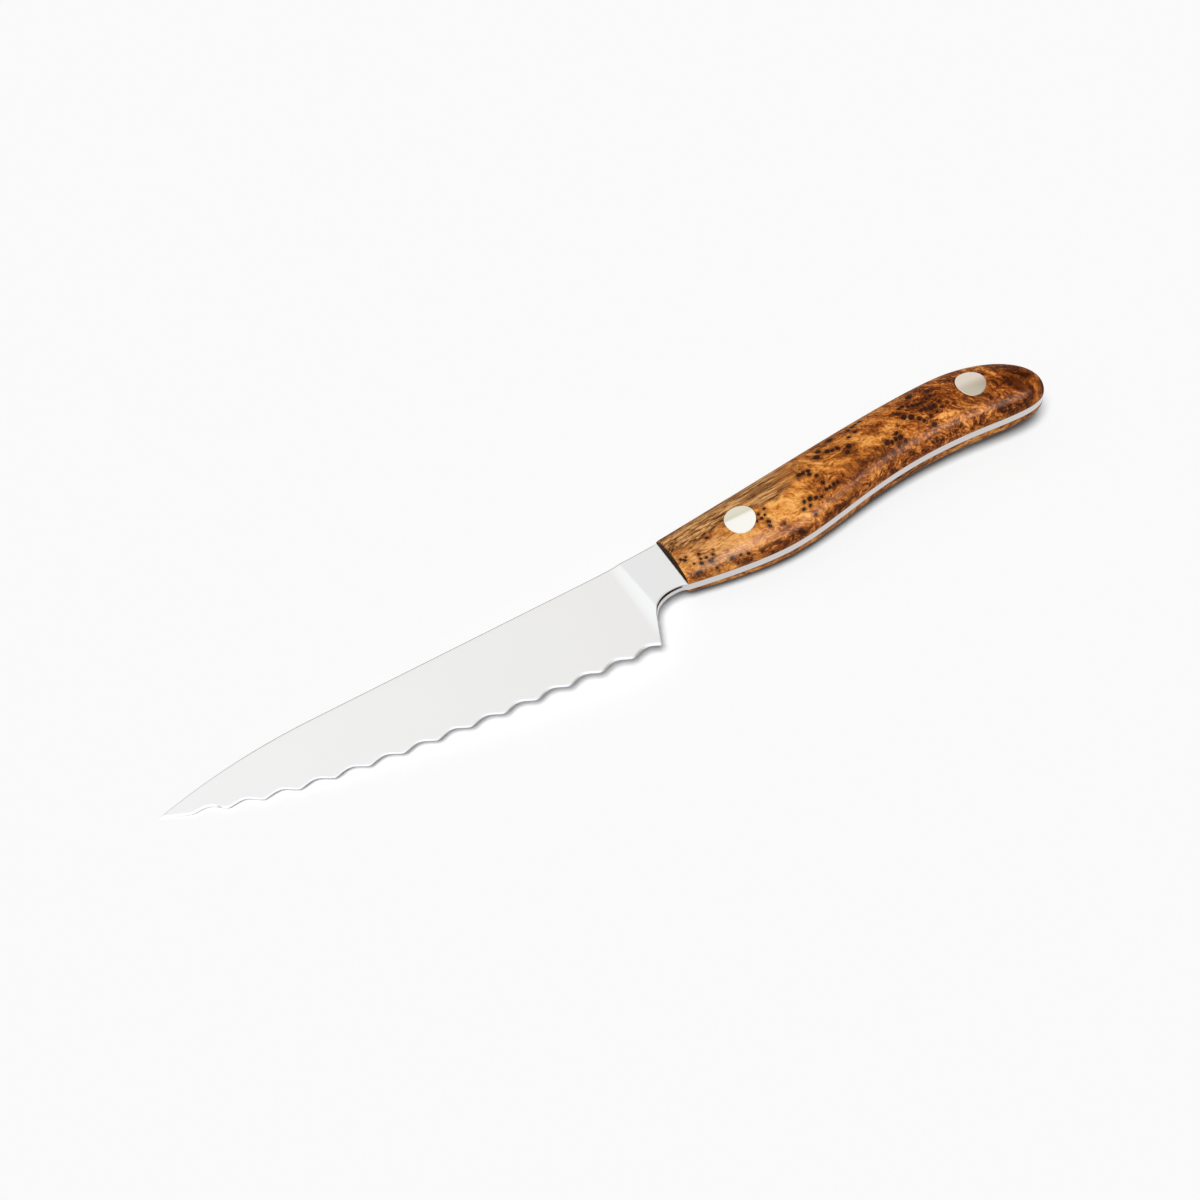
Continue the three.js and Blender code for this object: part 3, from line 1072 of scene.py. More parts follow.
@dataclass
class Blade:
    """Blade, ricasso and full tang: one piece of steel, in millimetres."""

    handle: HandleLines
    length: float = 139.7
    height: float = 26.2
    heel_from_scales: float = 14.8
    stock: float = 2.3
    spine_above_tip: float = 5.75
    spine_drop_length: float = 42.3
    edge_angle_at_heel: float = math.radians(3.5)
    edge_angle_at_tip: float = math.radians(24)
    edge_lead_at_heel: float = 93.1
    edge_lead_at_tip: float = 16.1
    scallop_pitch: float = 8.6
    scallop_depth: float = 1.34
    scallop_sharpness: float = 1.5
    heel_scallop: float = 7.65
    plain_tip_length: float = 6.0
    edge_bevel: float = math.radians(18)
    spine_thickness_at_heel: float = 1.5
    edge_thickness_at_heel: float = 0.36
    thickness_at_tip: float = 0.4
    plunge_from_scales: float = 14.3
    plunge_radius: float = 12.0
    plunge_soft: float = 0.06
    bevel_end_from_scales: float = 10.0
    heel_back_angle: float = math.radians(25)
    heel_back_length: float = 8.0
    choil_lead_at_heel: float = 4.0
    choil_lead_at_scales: float = 6.2
    eased_spine: float = 0.4
    eased_choil: float = 1.0
    tang_edge: float = 0.02
    tail: float = 9.0
    steps_in_scallop: int = 18
    rows: int = 12

    COURSE_STEPS = 4000
    TIP_STOPS = (0, 0.04, 0.1, 0.2, 0.35, 0.6)
    TIP_RUN = 0.9
    TIP_STEPS = 15
    HEEL_STEPS = 40
    CHOIL_STEPS = 30
    TANG_STEPS = 90
    TAIL_STEPS = 26
    TANG_FADE = 1.0
    LOW_TURNS = (0, 15, 32, 50, 68, 90)
    TOP_TURNS = (10, 30, 50, 70, 90)
    LOW_WALL_SHARE = 0.82
    TOP_WALL_SHARE = 0.9
    HEIGHT_SHARE = 0.2
    FACE_OVER_EASE = 1.5
    BEVEL_ROUNDS = 6
    BEVEL_PROBE = 3.0
    CLOSE = 0.01
    FLAT = 0.002
    SIDEWAYS = 0.9
    EASED_LOOK = (0.3, 0.98)

    def __post_init__(self) -> None:
        """Draw the outlines from the sizes."""
        self.bevel_end = self.length - self.bevel_end_from_scales
        self.heel = np.array([self.length - self.heel_from_scales, self.spine_above_tip - self.height])
        self.edge = self._edge_line()
        lean = np.array([math.sin(self.heel_back_angle), math.cos(self.heel_back_angle)])
        fall = math.sin(self.edge_angle_at_heel)
        over = self.edge[-1, 1] - self.heel[1] - (self.heel[0] - self.edge[-1, 0]) * fall
        self.heel_corner = self.heel + lean * over / (lean[1] + lean[0] * fall)
        level = (self.spine_drop_length, self.spine_above_tip)
        drop = Bend(((0.0, 0.0), (self.spine_drop_length / 2, self.spine_above_tip), level))
        self.front_spine = Course(drop, Bend((level, self.handle.spine_rise_start)))
        choil_start = self.heel + lean * self.heel_back_length
        at_scales = (self.length, -self.handle.front_belly_drop)
        arrive = (self.choil_lead_at_scales, -self.handle.front_belly_slope * self.choil_lead_at_scales)
        self.heel_back = Bend((tuple(self.heel), tuple(choil_start)))
        leave = tuple(lean * self.choil_lead_at_heel)
        self.choil = bend_between(tuple(choil_start), leave, at_scales, arrive)
        self.choil_line = Course(self.heel_back, self.choil)

    def _edge_line(self) -> Array:
        """Give the sharp edge from the tip to the heel, scallop by scallop.

        Returns:
            Its points in the plane of the steel, one row each.
        """
        at_tip = (self.edge_lead_at_tip, self.edge_angle_at_tip)
        at_heel = (self.edge_lead_at_heel, self.edge_angle_at_heel)
        leave, arrive = (
            (lead * math.cos(angle), -lead * math.sin(angle)) for lead, angle in (at_tip, at_heel)
        )
        course = bend_between((0.0, 0.0), leave, tuple(self.heel), arrive).points(self.COURSE_STEPS)
        run = np.concatenate([[0], np.cumsum(np.linalg.norm(np.diff(course, axis=0), axis=1))])
        whole = math.floor((run[-1] - self.plain_tip_length - self.heel_scallop) / self.scallop_pitch)
        plain = run[-1] - self.heel_scallop - whole * self.scallop_pitch
        step = self.scallop_pitch / self.steps_in_scallop
        tip = np.linspace(self.TIP_RUN, plain, self.TIP_STEPS + 1)[:-1]
        stops = np.concatenate([self.TIP_STOPS, tip, np.arange(plain, run[-1] - step / 2, step), [run[-1]]])
        at = np.stack([np.interp(stops, run, course[:, axis]) for axis in (0, 1)], 1)
        heading = np.stack([np.gradient(course[:, axis], run) for axis in (0, 1)], 1)
        heading = np.stack([np.interp(stops, run, heading[:, axis]) for axis in (0, 1)], 1)
        heading /= np.linalg.norm(heading, axis=1)[:, None]
        share = np.maximum(stops - plain, 0) / self.scallop_pitch
        wave = np.abs(np.sin(np.pi * share)) ** self.scallop_sharpness
        inward = np.stack([-heading[:, 1], heading[:, 0]], 1)
        return at + inward * (self.scallop_depth * wave)[:, None]

    def edge_height(self, x: Array) -> Array:
        """Give the height of the sharp edge, drawn on past the heel."""
        past = np.maximum(x - self.edge[-1, 0], 0) * math.sin(self.edge_angle_at_heel)
        return np.interp(x, self.edge[:, 0], self.edge[:, 1]) - past

    def lower(self, x: Array) -> Array:
        """Give the lower outline of the steel."""
        behind = np.where(x < self.length, self.choil_line.height(x), self.handle.belly.height(x))
        return np.where(x <= self.heel_corner[0], self.edge_height(x), behind)

    def upper(self, x: Array) -> Array:
        """Give the upper outline of the steel."""
        front = self.front_spine.height(x)
        return np.where(x <= self.handle.spine_rise_start[0], front, self.handle.spine.height(x))

    def half_thickness(self, x: Array, y: Array) -> Array:
        """Give half the thickness of the ground and honed steel.

        Args:
            x: Stations.
            y: Heights.

        Returns:
            Half the thickness at these places.
        """
        heel_half = self.spine_thickness_at_heel / 2
        to_spine = (heel_half - self.edge_thickness_at_heel / 2) / self.height
        to_heel = (heel_half - self.thickness_at_tip / 2 - to_spine * self.spine_above_tip) / self.heel[0]
        run = np.clip(x - (self.length - self.plunge_from_scales), 0, self.plunge_radius)
        sweep = self.plunge_radius - np.sqrt(self.plunge_radius**2 - run**2)
        ground = self.thickness_at_tip / 2 + to_heel * x + to_spine * y + sweep
        full = self.stock / 2
        blend = np.clip(0.5 + 0.5 * (full - ground) / self.plunge_soft, 0, 1)
        body = full + (ground - full) * blend - self.plunge_soft * blend * (1 - blend)
        honed = (y - self.edge_height(x)) * math.tan(self.edge_bevel)
        return np.maximum(np.minimum(body, honed), 0)

    def bevel_top(self, x: Array) -> Array:
        """Give the height at which the honed bevel meets the ground face.

        Args:
            x: Stations.

        Returns:
            The heights.
        """
        edge = self.edge_height(x)
        level = edge
        for _ in range(self.BEVEL_ROUNDS):
            face = self.half_thickness(x, level + self.BEVEL_PROBE)
            level = edge + face / math.tan(self.edge_bevel)
        return level

    def stations(self) -> Array:
        """Give the stations of the steel's sections, close together where it bends.

        Returns:
            The stations from the tip to the butt.
        """
        end = self.handle.end
        tail = end - self.tail * (1 - np.sin(np.linspace(0, QUARTER_TURN, self.TAIL_STEPS)))
        heel_back = self.heel_back.points(self.HEEL_STEPS)[:, 0]
        parts = [
            self.edge[:, 0],
            self.heel_corner[:1],
            heel_back[heel_back > self.heel_corner[0] + 2 * self.CLOSE],
            self.choil.points(self.CHOIL_STEPS)[1:, 0],
            np.linspace(self.length, end - self.tail, self.TANG_STEPS)[1:],
            tail[1:],
        ]
        return np.concatenate(parts)

    def half_ring(self, x: Array) -> tuple[Array, Array]:
        """Give the left half of every section, from the middle of its lower end to that of its upper end.

        Args:
            x: Stations.

        Returns:
            Heights and distances from the mid-plane, one row for each station.
        """
        low, top = self.lower(x), self.upper(x)
        tall = np.maximum(top - low, 0)
        tang = np.clip(x - self.length + self.TANG_FADE, 0, 1)
        wall, top_wall = self.half_thickness(x, low), self.half_thickness(x, top)
        choil_ease, spine_ease = (
            ease + (self.tang_edge - ease) * tang for ease in (self.eased_choil, self.eased_spine)
        )
        most = self.HEIGHT_SHARE * tall
        low_ease = np.minimum.reduce([choil_ease, self.LOW_WALL_SHARE * wall, most])
        top_ease = np.minimum.reduce([spine_ease, self.TOP_WALL_SHARE * top_wall, most])
        face_top = top - top_ease
        bevel = np.minimum(self.bevel_top(x), face_top)
        edged = (low < bevel) & (x < self.bevel_end)
        face_low = np.where(edged, bevel, low + self.FACE_OVER_EASE * low_ease)
        heights, offsets = [low], [np.zeros_like(x)]
        for number, turn in enumerate(np.radians(self.LOW_TURNS)):
            honed = low + (face_low - low) * number / len(self.LOW_TURNS)
            y = np.where(edged, honed, low + low_ease * (1 - np.cos(turn)))
            rounded = wall - low_ease * (1 - np.sin(turn))
            heights.append(y)
            offsets.append(np.where(edged, self.half_thickness(x, y), rounded))
        for share in np.linspace(0, 1, self.rows):
            y = face_low + (face_top - face_low) * share
            heights.append(y)
            offsets.append(self.half_thickness(x, y))
        face_end = offsets[-1]
        for turn in np.radians(self.TOP_TURNS):
            heights.append(face_top + top_ease * np.sin(turn))
            offsets.append(face_end - top_ease * (1 - np.cos(turn)))
        heights.append(top)
        offsets.append(np.zeros_like(x))
        return np.stack(heights, 1), np.stack(offsets, 1)

    def build(self) -> bpy.types.Mesh:
        """Shape the steel section by section.

        Returns:
            The mesh, with the border of the honed bevel marked as a crease.
        """
        x = self.stations()
        heights, offsets = self.half_ring(x)
        left = np.stack([np.repeat(x[:, None], heights.shape[1], 1), heights, offsets], -1)
        right = left[:, -2:0:-1].copy()
        right[..., 2] *= -1
        ring = np.concatenate([left, right], 1)
        rows, columns = ring.shape[:2]
        mesh = Blank(ring.reshape(-1, 3), grid_faces(rows, columns)).mesh("blade")
        mesh.shade_smooth()
        mesh.set_sharp_from_angle(angle=SHARP_ANGLE)
        self._mark_crease(mesh)
        return mesh

    def _mark_crease(self, mesh: bpy.types.Mesh) -> None:
        """Mark the border between the honed bevel and the ground face as sharp.

        Args:
            mesh: Mesh of the steel.
        """
        x, y, _ = knife_frame(mesh).T
        on_border = (np.abs(y - self.bevel_top(x)) < self.CLOSE) & (x < self.bevel_end)
        for edge in mesh.edges:
            first, second = edge.vertices
            if on_border[first] and on_border[second]:
                edge.use_edge_sharp = True

    def _part(self, corners: Array, look: Vector) -> SteelPart:
        """Tell which part of the steel a face belongs to.

        Args:
            corners: Corners of the face in the knife's own frame.
            look: Direction in which the face looks.

        Returns:
            The part.
        """
        x, y = corners.mean(0)[:2]
        # Faces of the eased spine take the steel painted dark, a painted reflection line.
        if self.EASED_LOOK[0] < look.y < self.EASED_LOOK[1] and x < self.length:
            return SteelPart.EASED
        if abs(look.z) < self.SIDEWAYS:
            return SteelPart.SIDES
        if x < self.bevel_end and y < float(self.bevel_top(np.array([x]))[0]) - self.CLOSE:
            return SteelPart.HONED
        if np.ptp(np.abs(corners[:, 2])) < self.FLAT and x > self.heel[0]:
            return SteelPart.STOCK
        return SteelPart.FACES

    def dress(self, mesh: bpy.types.Mesh, effects: Effects) -> None:
        """Give each part of the steel its finish.

        Args:
            mesh: Mesh of the steel.
            effects: Shared node groups.
        """
        parts = list(SteelPart)
        for part in parts:
            mesh.materials.append(part.value.material(effects))
        own = knife_frame(mesh)
        for polygon in mesh.polygons:
            polygon.material_index = parts.index(self._part(own[list(polygon.vertices)], polygon.normal))


@dataclass(frozen=True)
class BudRow:
    """Row of buds in the burl: place and radius of the first, their number and the step to the next."""

    station: float
    girth: float
    radius: float
    count: int = 1
    step_along: float = 0.0
    step_around: float = 0.0


@dataclass(frozen=True)
class Tint:
    """Broad patch of lighter or darker burl; some patches are painted light and shade."""

    station: float
    girth: float
    along: float
    around: float
    tone: float


def mound(values: Array, middle: Any, width: float) -> Array:
    """Give a soft mound that is one at its middle and fades within a few widths."""
    return np.exp(-(((values - middle) / width) ** 2))


@dataclass
class Scale:
    """One burl scale of the handle, flat on the tang and crowned outside."""

    handle: HandleLines
    side: Side
    rivets: list[Pair]
    hole_radius: float = 4.05
    stations: int = 300
    tail: float = 9.0
    turns: int = 100
    bud_spread: Pair = (0.1, 0.12)
    bud_sizes: Pair = (0.95, 1.3)
    bud_leans: Pair = (-1.1, 0.3)
    bud_length: float = 1.1
    bud_seam: float = 0.45
    bud_reach: float = 2.4
    bud_crowd: float = 0.3
    most_bud_crowd: float = 0.4
    belly_crowd: float = 0.6
    grain_blur: float = 0.9
    grain_end: float = 42.0
    grain_fade: float = 12.0
    pale_straight: float = 0.7
    border_tone: float = -1.1
    band_tone: float = 0.15

    BUDS = "buds"
    CROWD = "crowd"
    STRAIGHT = "straight"
    TONE = "tone"
    SEED = 5
    EDGE_STEPS = 7
    TAIL_STEPS = 40
    DRILL_REACH = 20.0
    GIRTH_GRID = (160, 121)
    FAR_FROM_BUDS = 4.0
    CROWD_STATIONS = (48, 66, 82, 96, 110)
    CROWD_THERE = (0.0, 0.3, 0.5, 0.15, 0.0)
    BORDER_STATIONS = (0, 15, 34, 60)
    BORDER_GIRTHS = (9.2, 12.5, 13.8, 20)
    BORDER_WAVES = ((0.4, 0.6, 0.0), (0.25, 1.4, 1.0))
    BORDER_EDGE = 0.7
    BELLY_CROWD_AT = (2.6, 1.5)
    PALE_ALONG = (8.0, 10.0)
    PALE_AROUND = (7.0, 4.5)
    BANDS_AT = (2.4, 1.8)
    BAND_PITCHES = (2.3, 3.7, 5.9)
    BAND_LEAN = 6.0
    # Painted shade on the left scale's belly edge, painted bounce light on the right scale's.
    BELLY_PAINTED_LIGHT = (-0.25, 0.3)
    SQUARE_ENOUGH = 0.7
    FRONT_LOOK = -0.96

    @property
    def node(self) -> str:
        """Give the frame node of this scale."""
        return f"{self.side.name.lower()}_scale"

    @property
    def belly_painted_light(self) -> float:
        """Give the tone that paints shade along the left scale's belly edge, and painted bounce light from
        the table, paler, along the right scale's.
        """
        left, right = self.BELLY_PAINTED_LIGHT
        return left if self.side is Side.LEFT else right

    def bud_rows(self) -> list[BudRow]:
        """Give the rows of buds on this scale, by their distance from its front and from its belly edge.

        Returns:
            The rows.
        """
        return [
            BudRow(1.0, 6.6, 0.42, 2, 0.85, -0.15),
            BudRow(2.3, 6.9, 0.34),
            BudRow(3.0, 2.3, 0.45, 2, 0.7, -0.2),
            BudRow(3.3, 4.6, 0.28),
            BudRow(5.4, 6.8, 0.42),
            BudRow(5.2, 5.6, 0.32),
            BudRow(4.9, 4.3, 0.46, 2, 2.1, -0.05),
            BudRow(6.5, 5.4, 0.42, 2, 1.9, 0.2),
            BudRow(7.8, 4.6, 0.36),
            BudRow(8.9, 6.7, 0.28),
            BudRow(9.4, 10.6, 0.45),
            BudRow(12.2, 3.4, 0.4, 3, 2.2, -0.2),
            BudRow(23.4, 11.4, 0.4, 2, 2.0, 0.7),
            BudRow(21.9, 9.8, 0.38, 3, 1.4, 0.4),
            BudRow(24.6, 8.6, 0.44, 2, -0.2, -1.3),
            BudRow(27.9, 6.5, 0.4),
            BudRow(34.0, 7.1, 0.5, 2, 2.3, 0.2),
            BudRow(35.4, 8.8, 0.55, 2, 1.3, -0.4),
            BudRow(38.4, 8.0, 0.45, 2, 1.5, -0.7),
            BudRow(38.1, 15.7, 0.58, 3, 1.2, -0.4),
            BudRow(40.2, 13.9, 0.52, 2, 1.4, -1.4),
            BudRow(42.0, 10.0, 0.6),
            BudRow(41.9, 8.2, 0.5, 4, 1.25, -0.1),
            BudRow(36.5, 4.5, 0.55),
            BudRow(45.1, 17.0, 0.75, 2, 1.0, 1.4),
            BudRow(48.2, 16.4, 0.6, 3, 1.25, -0.6),
            BudRow(52.3, 12.5, 0.65, 2, 1.2, 1.2),
            BudRow(51.3, 19.6, 0.7),
            BudRow(55.3, 16.2, 0.5, 2, 2.4, 0.3),
            BudRow(56.9, 18.6, 0.5, 4, 1.3, 0.3),
            BudRow(62.8, 8.8, 0.65, 4, 1.3, -0.2),
            BudRow(66.1, 9.6, 0.5),
            BudRow(63.4, 5.6, 0.5, 3, 2.1, 0.6),
            BudRow(70.6, 12.3, 0.7, 2, 1.5, -0.9),
            BudRow(71.0, 15.2, 0.5, 2, 1.2, 0.3),
            BudRow(73.3, 14.5, 0.62, 4, 1.2, -0.3),
            BudRow(73.7, 10.0, 0.6, 2, 1.2, -0.8),
            BudRow(75.7, 17.6, 0.85),
            BudRow(76.6, 6.9, 0.75),
            BudRow(75.4, 11.8, 0.55, 4, 1.3, -0.2),
            BudRow(77.6, 13.2, 0.5, 3, 1.4, 0.7),
            BudRow(77.0, 9.6, 0.45, 3, 1.9, 0.3),
            BudRow(80.7, 16.3, 0.6),
            BudRow(87.4, 16.8, 0.4, 2, 0.9, -0.9),
            BudRow(95.2, 15.4, 0.38, 2, 0.6, -1.2),
            BudRow(94.8, 4.6, 0.36, 4, 1.3, 0.25),
        ]

    def tints(self) -> list[Tint]:
        """Give the broad light and dark patches of this scale: most are the burl's own tone, and the last
        three are painted light and shade along the belly.

        Returns:
            The patches.
        """
        return [
            Tint(7.0, 6.5, 8.0, 4.0, 0.9),
            Tint(20.0, 8.5, 8.0, 3.0, 0.3),
            Tint(33.0, 10.5, 4.0, 3.0, 0.4),
            Tint(46.0, 13.5, 5.0, 3.0, 0.4),
            Tint(59.0, 12.5, 6.0, 3.5, 0.35),
            Tint(66.0, 11.5, 5.0, 1.8, 0.3),
            Tint(45.0, 19.5, 10.0, 2.5, 0.1),
            Tint(62.0, 20.0, 8.0, 2.5, 0.15),
            Tint(84.0, 8.0, 6.0, 2.5, 0.3),
            Tint(100.0, 15.0, 5.0, 3.0, 0.4),
            Tint(50.0, 7.5, 6.0, 2.5, -0.3),
            Tint(62.5, 14.6, 4.0, 2.0, -0.7),
            Tint(76.0, 13.0, 9.0, 5.0, -0.85),
            Tint(91.0, 13.0, 7.0, 7.0, -0.5),
            Tint(103.0, 10.0, 8.0, 8.0, -0.9),
            Tint(106.5, 16.0, 4.0, 4.0, 0.7),
            Tint(34.0, 17.5, 7.0, 3.0, -0.3),
            # Painted light: a lighter band just below the mirrored streak on the belly.
            Tint(38.0, 3.6, 28.0, 1.0, 0.4),
            # Painted shade along the lower belly edge; painted bounce light on the right scale.
            Tint(30.0, 1.0, 40.0, 1.2, self.belly_painted_light),
            Tint(80.0, 1.4, 30.0, 1.6, self.belly_painted_light),
        ]

    def buds(self) -> Array:
        """Spread the buds along their rows, each a little off its place and of its own size.

        Returns:
            Station, girth, radius and lean of each bud, one row each.
        """
        chance = np.random.default_rng(self.side.value + self.SEED)
        spread = []
        for row in self.bud_rows():
            for number in range(row.count):
                station = row.station + number * row.step_along + chance.normal(0, self.bud_spread[0])
                girth = row.girth + number * row.step_around + chance.normal(0, self.bud_spread[1])
                radius = row.radius * chance.uniform(*self.bud_sizes)
                spread.append((station, girth, radius, chance.uniform(*self.bud_leans)))
        return np.array(spread)

    def build(self) -> bpy.types.Mesh:
        """Shape the scale, drill it and note its figure on the mesh.

        Returns:
            The mesh.
        """
        line = self.handle
        round_edge = np.linspace(0, QUARTER_TURN, self.EDGE_STEPS + 1)[:-1]
        edge = line.front + line.front_edge_radius * (1 - np.cos(round_edge))
        body = np.linspace(line.front + line.front_edge_radius, line.end - self.tail, self.stations)
        tail = line.end - self.tail * (1 - np.sin(np.linspace(0, QUARTER_TURN, self.TAIL_STEPS)))
        x = np.concatenate([edge, body, tail[1:]])
        turn = np.linspace(0, math.pi, self.turns + 1)
        grid = line.surface(x[:, None], turn[None, :])
        rows, columns = grid.shape[:2]
        grid[-1] = (line.end, -line.butt_drop, line.scale_back)
        corners = grid.reshape(-1, 3)
        corners[:, 2] *= self.side.value
        faces = grid_faces(rows, columns)
        faces.append(tuple(range(columns)))
        mesh = Blank(corners, faces).mesh(self.node)
        drilled(mesh, self.rivets, self.hole_radius, self.DRILL_REACH)
        self._note_figure(mesh)
        self._smooth(mesh)
        return mesh

    def _on_left(self, mesh: bpy.types.Mesh) -> Array:
        """Give the corners of the mesh as if it lay on the left side."""
        return self.side.mirrored(knife_frame(mesh))

    def _unrolled(self, points: Array) -> Array:
        """Give station and girth of points on the scale, both in millimetres.

        Args:
            points: Points on the left scale.

        Returns:
            Distance from the front of the scale and way round it from the belly.
        """
        line = self.handle
        x = np.linspace(line.front, line.end, self.GIRTH_GRID[0])
        turn = np.linspace(0, math.pi, self.GIRTH_GRID[1])
        grid = line.surface(x[:, None], turn[None, :])
        girth = np.zeros(grid.shape[:2])
        girth[:, 1:] = np.cumsum(np.linalg.norm(np.diff(grid, axis=1), axis=2), axis=1)
        middle, half, crown = line.section(points[:, 0])
        turned = np.arctan2((points[:, 2] - line.scale_back) / crown, (middle - points[:, 1]) / half)
        row = np.clip((points[:, 0] - line.front) / line.length, 0, 1) * (len(x) - 1)
        column = np.clip(turned / math.pi, 0, 1) * (len(turn) - 1)
        r0 = np.minimum(row.astype(int), len(x) - 2)
        c0 = np.minimum(column.astype(int), len(turn) - 2)
        r, c = row - r0, column - c0
        round_it = (
            girth[r0, c0] * (1 - r) * (1 - c)
            + girth[r0 + 1, c0] * r * (1 - c)
            + girth[r0, c0 + 1] * (1 - r) * c
            + girth[r0 + 1, c0 + 1] * r * c
        )
        return np.stack([points[:, 0] - line.front, round_it], 1)

    def _bud_fields(self, station: Array, girth: Array) -> tuple[Array, Array]:
        """Work out how far every corner is from the buds and how much they crowd there.

        Args:
            station: Distances from the front of the scale.
            girth: Ways round the scale from its belly edge.

        Returns:
            Distance from the nearest bud in its radii, and how much the wood is crowded.
        """
        buds = self.buds()
        along = station[:, None] - buds[:, 0]
        around = girth[:, None] - buds[:, 1]
        cos, sin = np.cos(buds[:, 3]), np.sin(buds[:, 3])
        lengthwise = (along * cos + around * sin) / self.bud_length
        crosswise = (around * cos - along * sin) * self.bud_length
        oval = np.hypot(lengthwise, crosswise)
        nearest, second = np.partition(oval / buds[:, 2], 1, axis=1)[:, :2].T
        seam = np.maximum(self.bud_seam - (second - nearest), 0)
        crowd = np.minimum(self.bud_crowd * mound(oval, 0, self.bud_reach).sum(1), self.most_bud_crowd)
        crowd += np.interp(station, self.CROWD_STATIONS, self.CROWD_THERE)
        crowd += self.belly_crowd * mound(girth, *self.BELLY_CROWD_AT)
        return np.minimum(nearest + seam, self.FAR_FROM_BUDS), crowd

    def _grain_fields(self, station: Array, girth: Array) -> tuple[Array, Array]:
        """Work out how straight the grain runs at every corner and how light the wood is, painted light and
        shade along the belly included.

        Args:
            station: Distances from the front of the scale.
            girth: Ways round the scale from its belly edge.

        Returns:
            How straight the grain is, from 0 to 1, and the tone around zero.
        """
        border = np.interp(station, self.BORDER_STATIONS, self.BORDER_GIRTHS)
        border += sum(size * np.sin(pace * station + shift) for size, pace, shift in self.BORDER_WAVES)
        before = np.clip((self.grain_end - station) / self.grain_fade, 0, 1)
        straight = np.clip((girth - border) / self.grain_blur + 0.5, 0, 1) * before
        pale = mound(station, *self.PALE_ALONG) * mound(girth, *self.PALE_AROUND)
        tone = sum(
            each.tone * mound(station, each.station, each.along) * mound(girth, each.girth, each.around)
            for each in self.tints()
        )
        tone += self.border_tone * mound(girth, border + self.BORDER_EDGE, self.BORDER_EDGE) * before
        for pitch in self.BAND_PITCHES:
            band = np.sin(2 * math.pi * station / pitch + girth * pitch / self.BAND_LEAN)
            tone += self.band_tone * band * mound(girth, *self.BANDS_AT)
        return np.maximum(straight, self.pale_straight * pale), tone

    def _note_figure(self, mesh: bpy.types.Mesh) -> None:
        """Write the fields of the burl's figure on the mesh.

        Args:
            mesh: Mesh of the scale.
        """
        station, girth = self._unrolled(self._on_left(mesh)).T
        share, crowd = self._bud_fields(station, girth)
        straight, tone = self._grain_fields(station, girth)
        fields = {self.BUDS: share, self.CROWD: crowd, self.STRAIGHT: straight, self.TONE: tone}
        for name, values in fields.items():
            layer = mesh.attributes.new(name, "FLOAT", "POINT")
            layer.data.foreach_set("value", values.astype(np.float32))

    def _smooth(self, mesh: bpy.types.Mesh) -> None:
        """Shade the crown as the true curved surface, and everything else flat.

        Args:
            mesh: Mesh of the scale.
        """
        outward = RESTING.turned(self.side.mirrored(self.handle.outward(self._on_left(mesh))))
        mesh.shade_smooth()
        normals = np.zeros((len(mesh.loops), 3))
        for polygon in mesh.polygons:
            flat = np.array(polygon.normal)
            for loop in polygon.loop_indices:
                own = outward[mesh.loops[loop].vertex_index]
                normals[loop] = own if own @ flat > self.SQUARE_ENOUGH else flat
        mesh.normals_split_custom_set(normals.tolist())

    def dress(self, mesh: bpy.types.Mesh, burl: bpy.types.Material, end_grain: bpy.types.Material) -> None:
        """Give the crown its polish and the front its dark end grain.

        Args:
            mesh: Mesh of the scale.
            burl: Finish of the crown.
            end_grain: Finish of the front.
        """
        mesh.materials.append(burl)
        mesh.materials.append(end_grain)
        for polygon in mesh.polygons:
            polygon.material_index = 1 if polygon.normal.x < self.FRONT_LOOK else 0


@dataclass
class GlueBed:
    """Hardened glue between the tang and one scale, level with both at their edges."""

    handle: HandleLines
    side: Side
    rivets: list[Pair]
    hole_radius: float = 2.55
    bottom: float = 1.17
    top: float = 1.28
    stations: int = 150

    DRILL_REACH = 4.0

    @property
    def node(self) -> str:
        """Give the frame node of this bed."""
        return f"{self.side.name.lower()}_glue_bed"

    def build(self) -> bpy.types.Mesh:
        """Shape the bed.

        Returns:
            The mesh.
        """
        line = self.handle
        x = line.front + line.length * np.sin(np.linspace(0, QUARTER_TURN, self.stations))
        belly, spine = line.belly.height(x), line.spine.height(x)
        low, high = self.bottom * self.side.value, self.top * self.side.value
        ring = [(belly, low), (belly, high), (spine, high), (spine, low)]
        corners = np.stack([np.stack([x, y, np.full_like(x, z)], 1) for y, z in ring], 1)
        faces = grid_faces(len(x), len(ring))
        faces.append(tuple(range(len(ring))))
        mesh = Blank(corners.reshape(-1, 3), faces).mesh(self.node)
        drilled(mesh, self.rivets, self.hole_radius, self.DRILL_REACH)
        return mesh


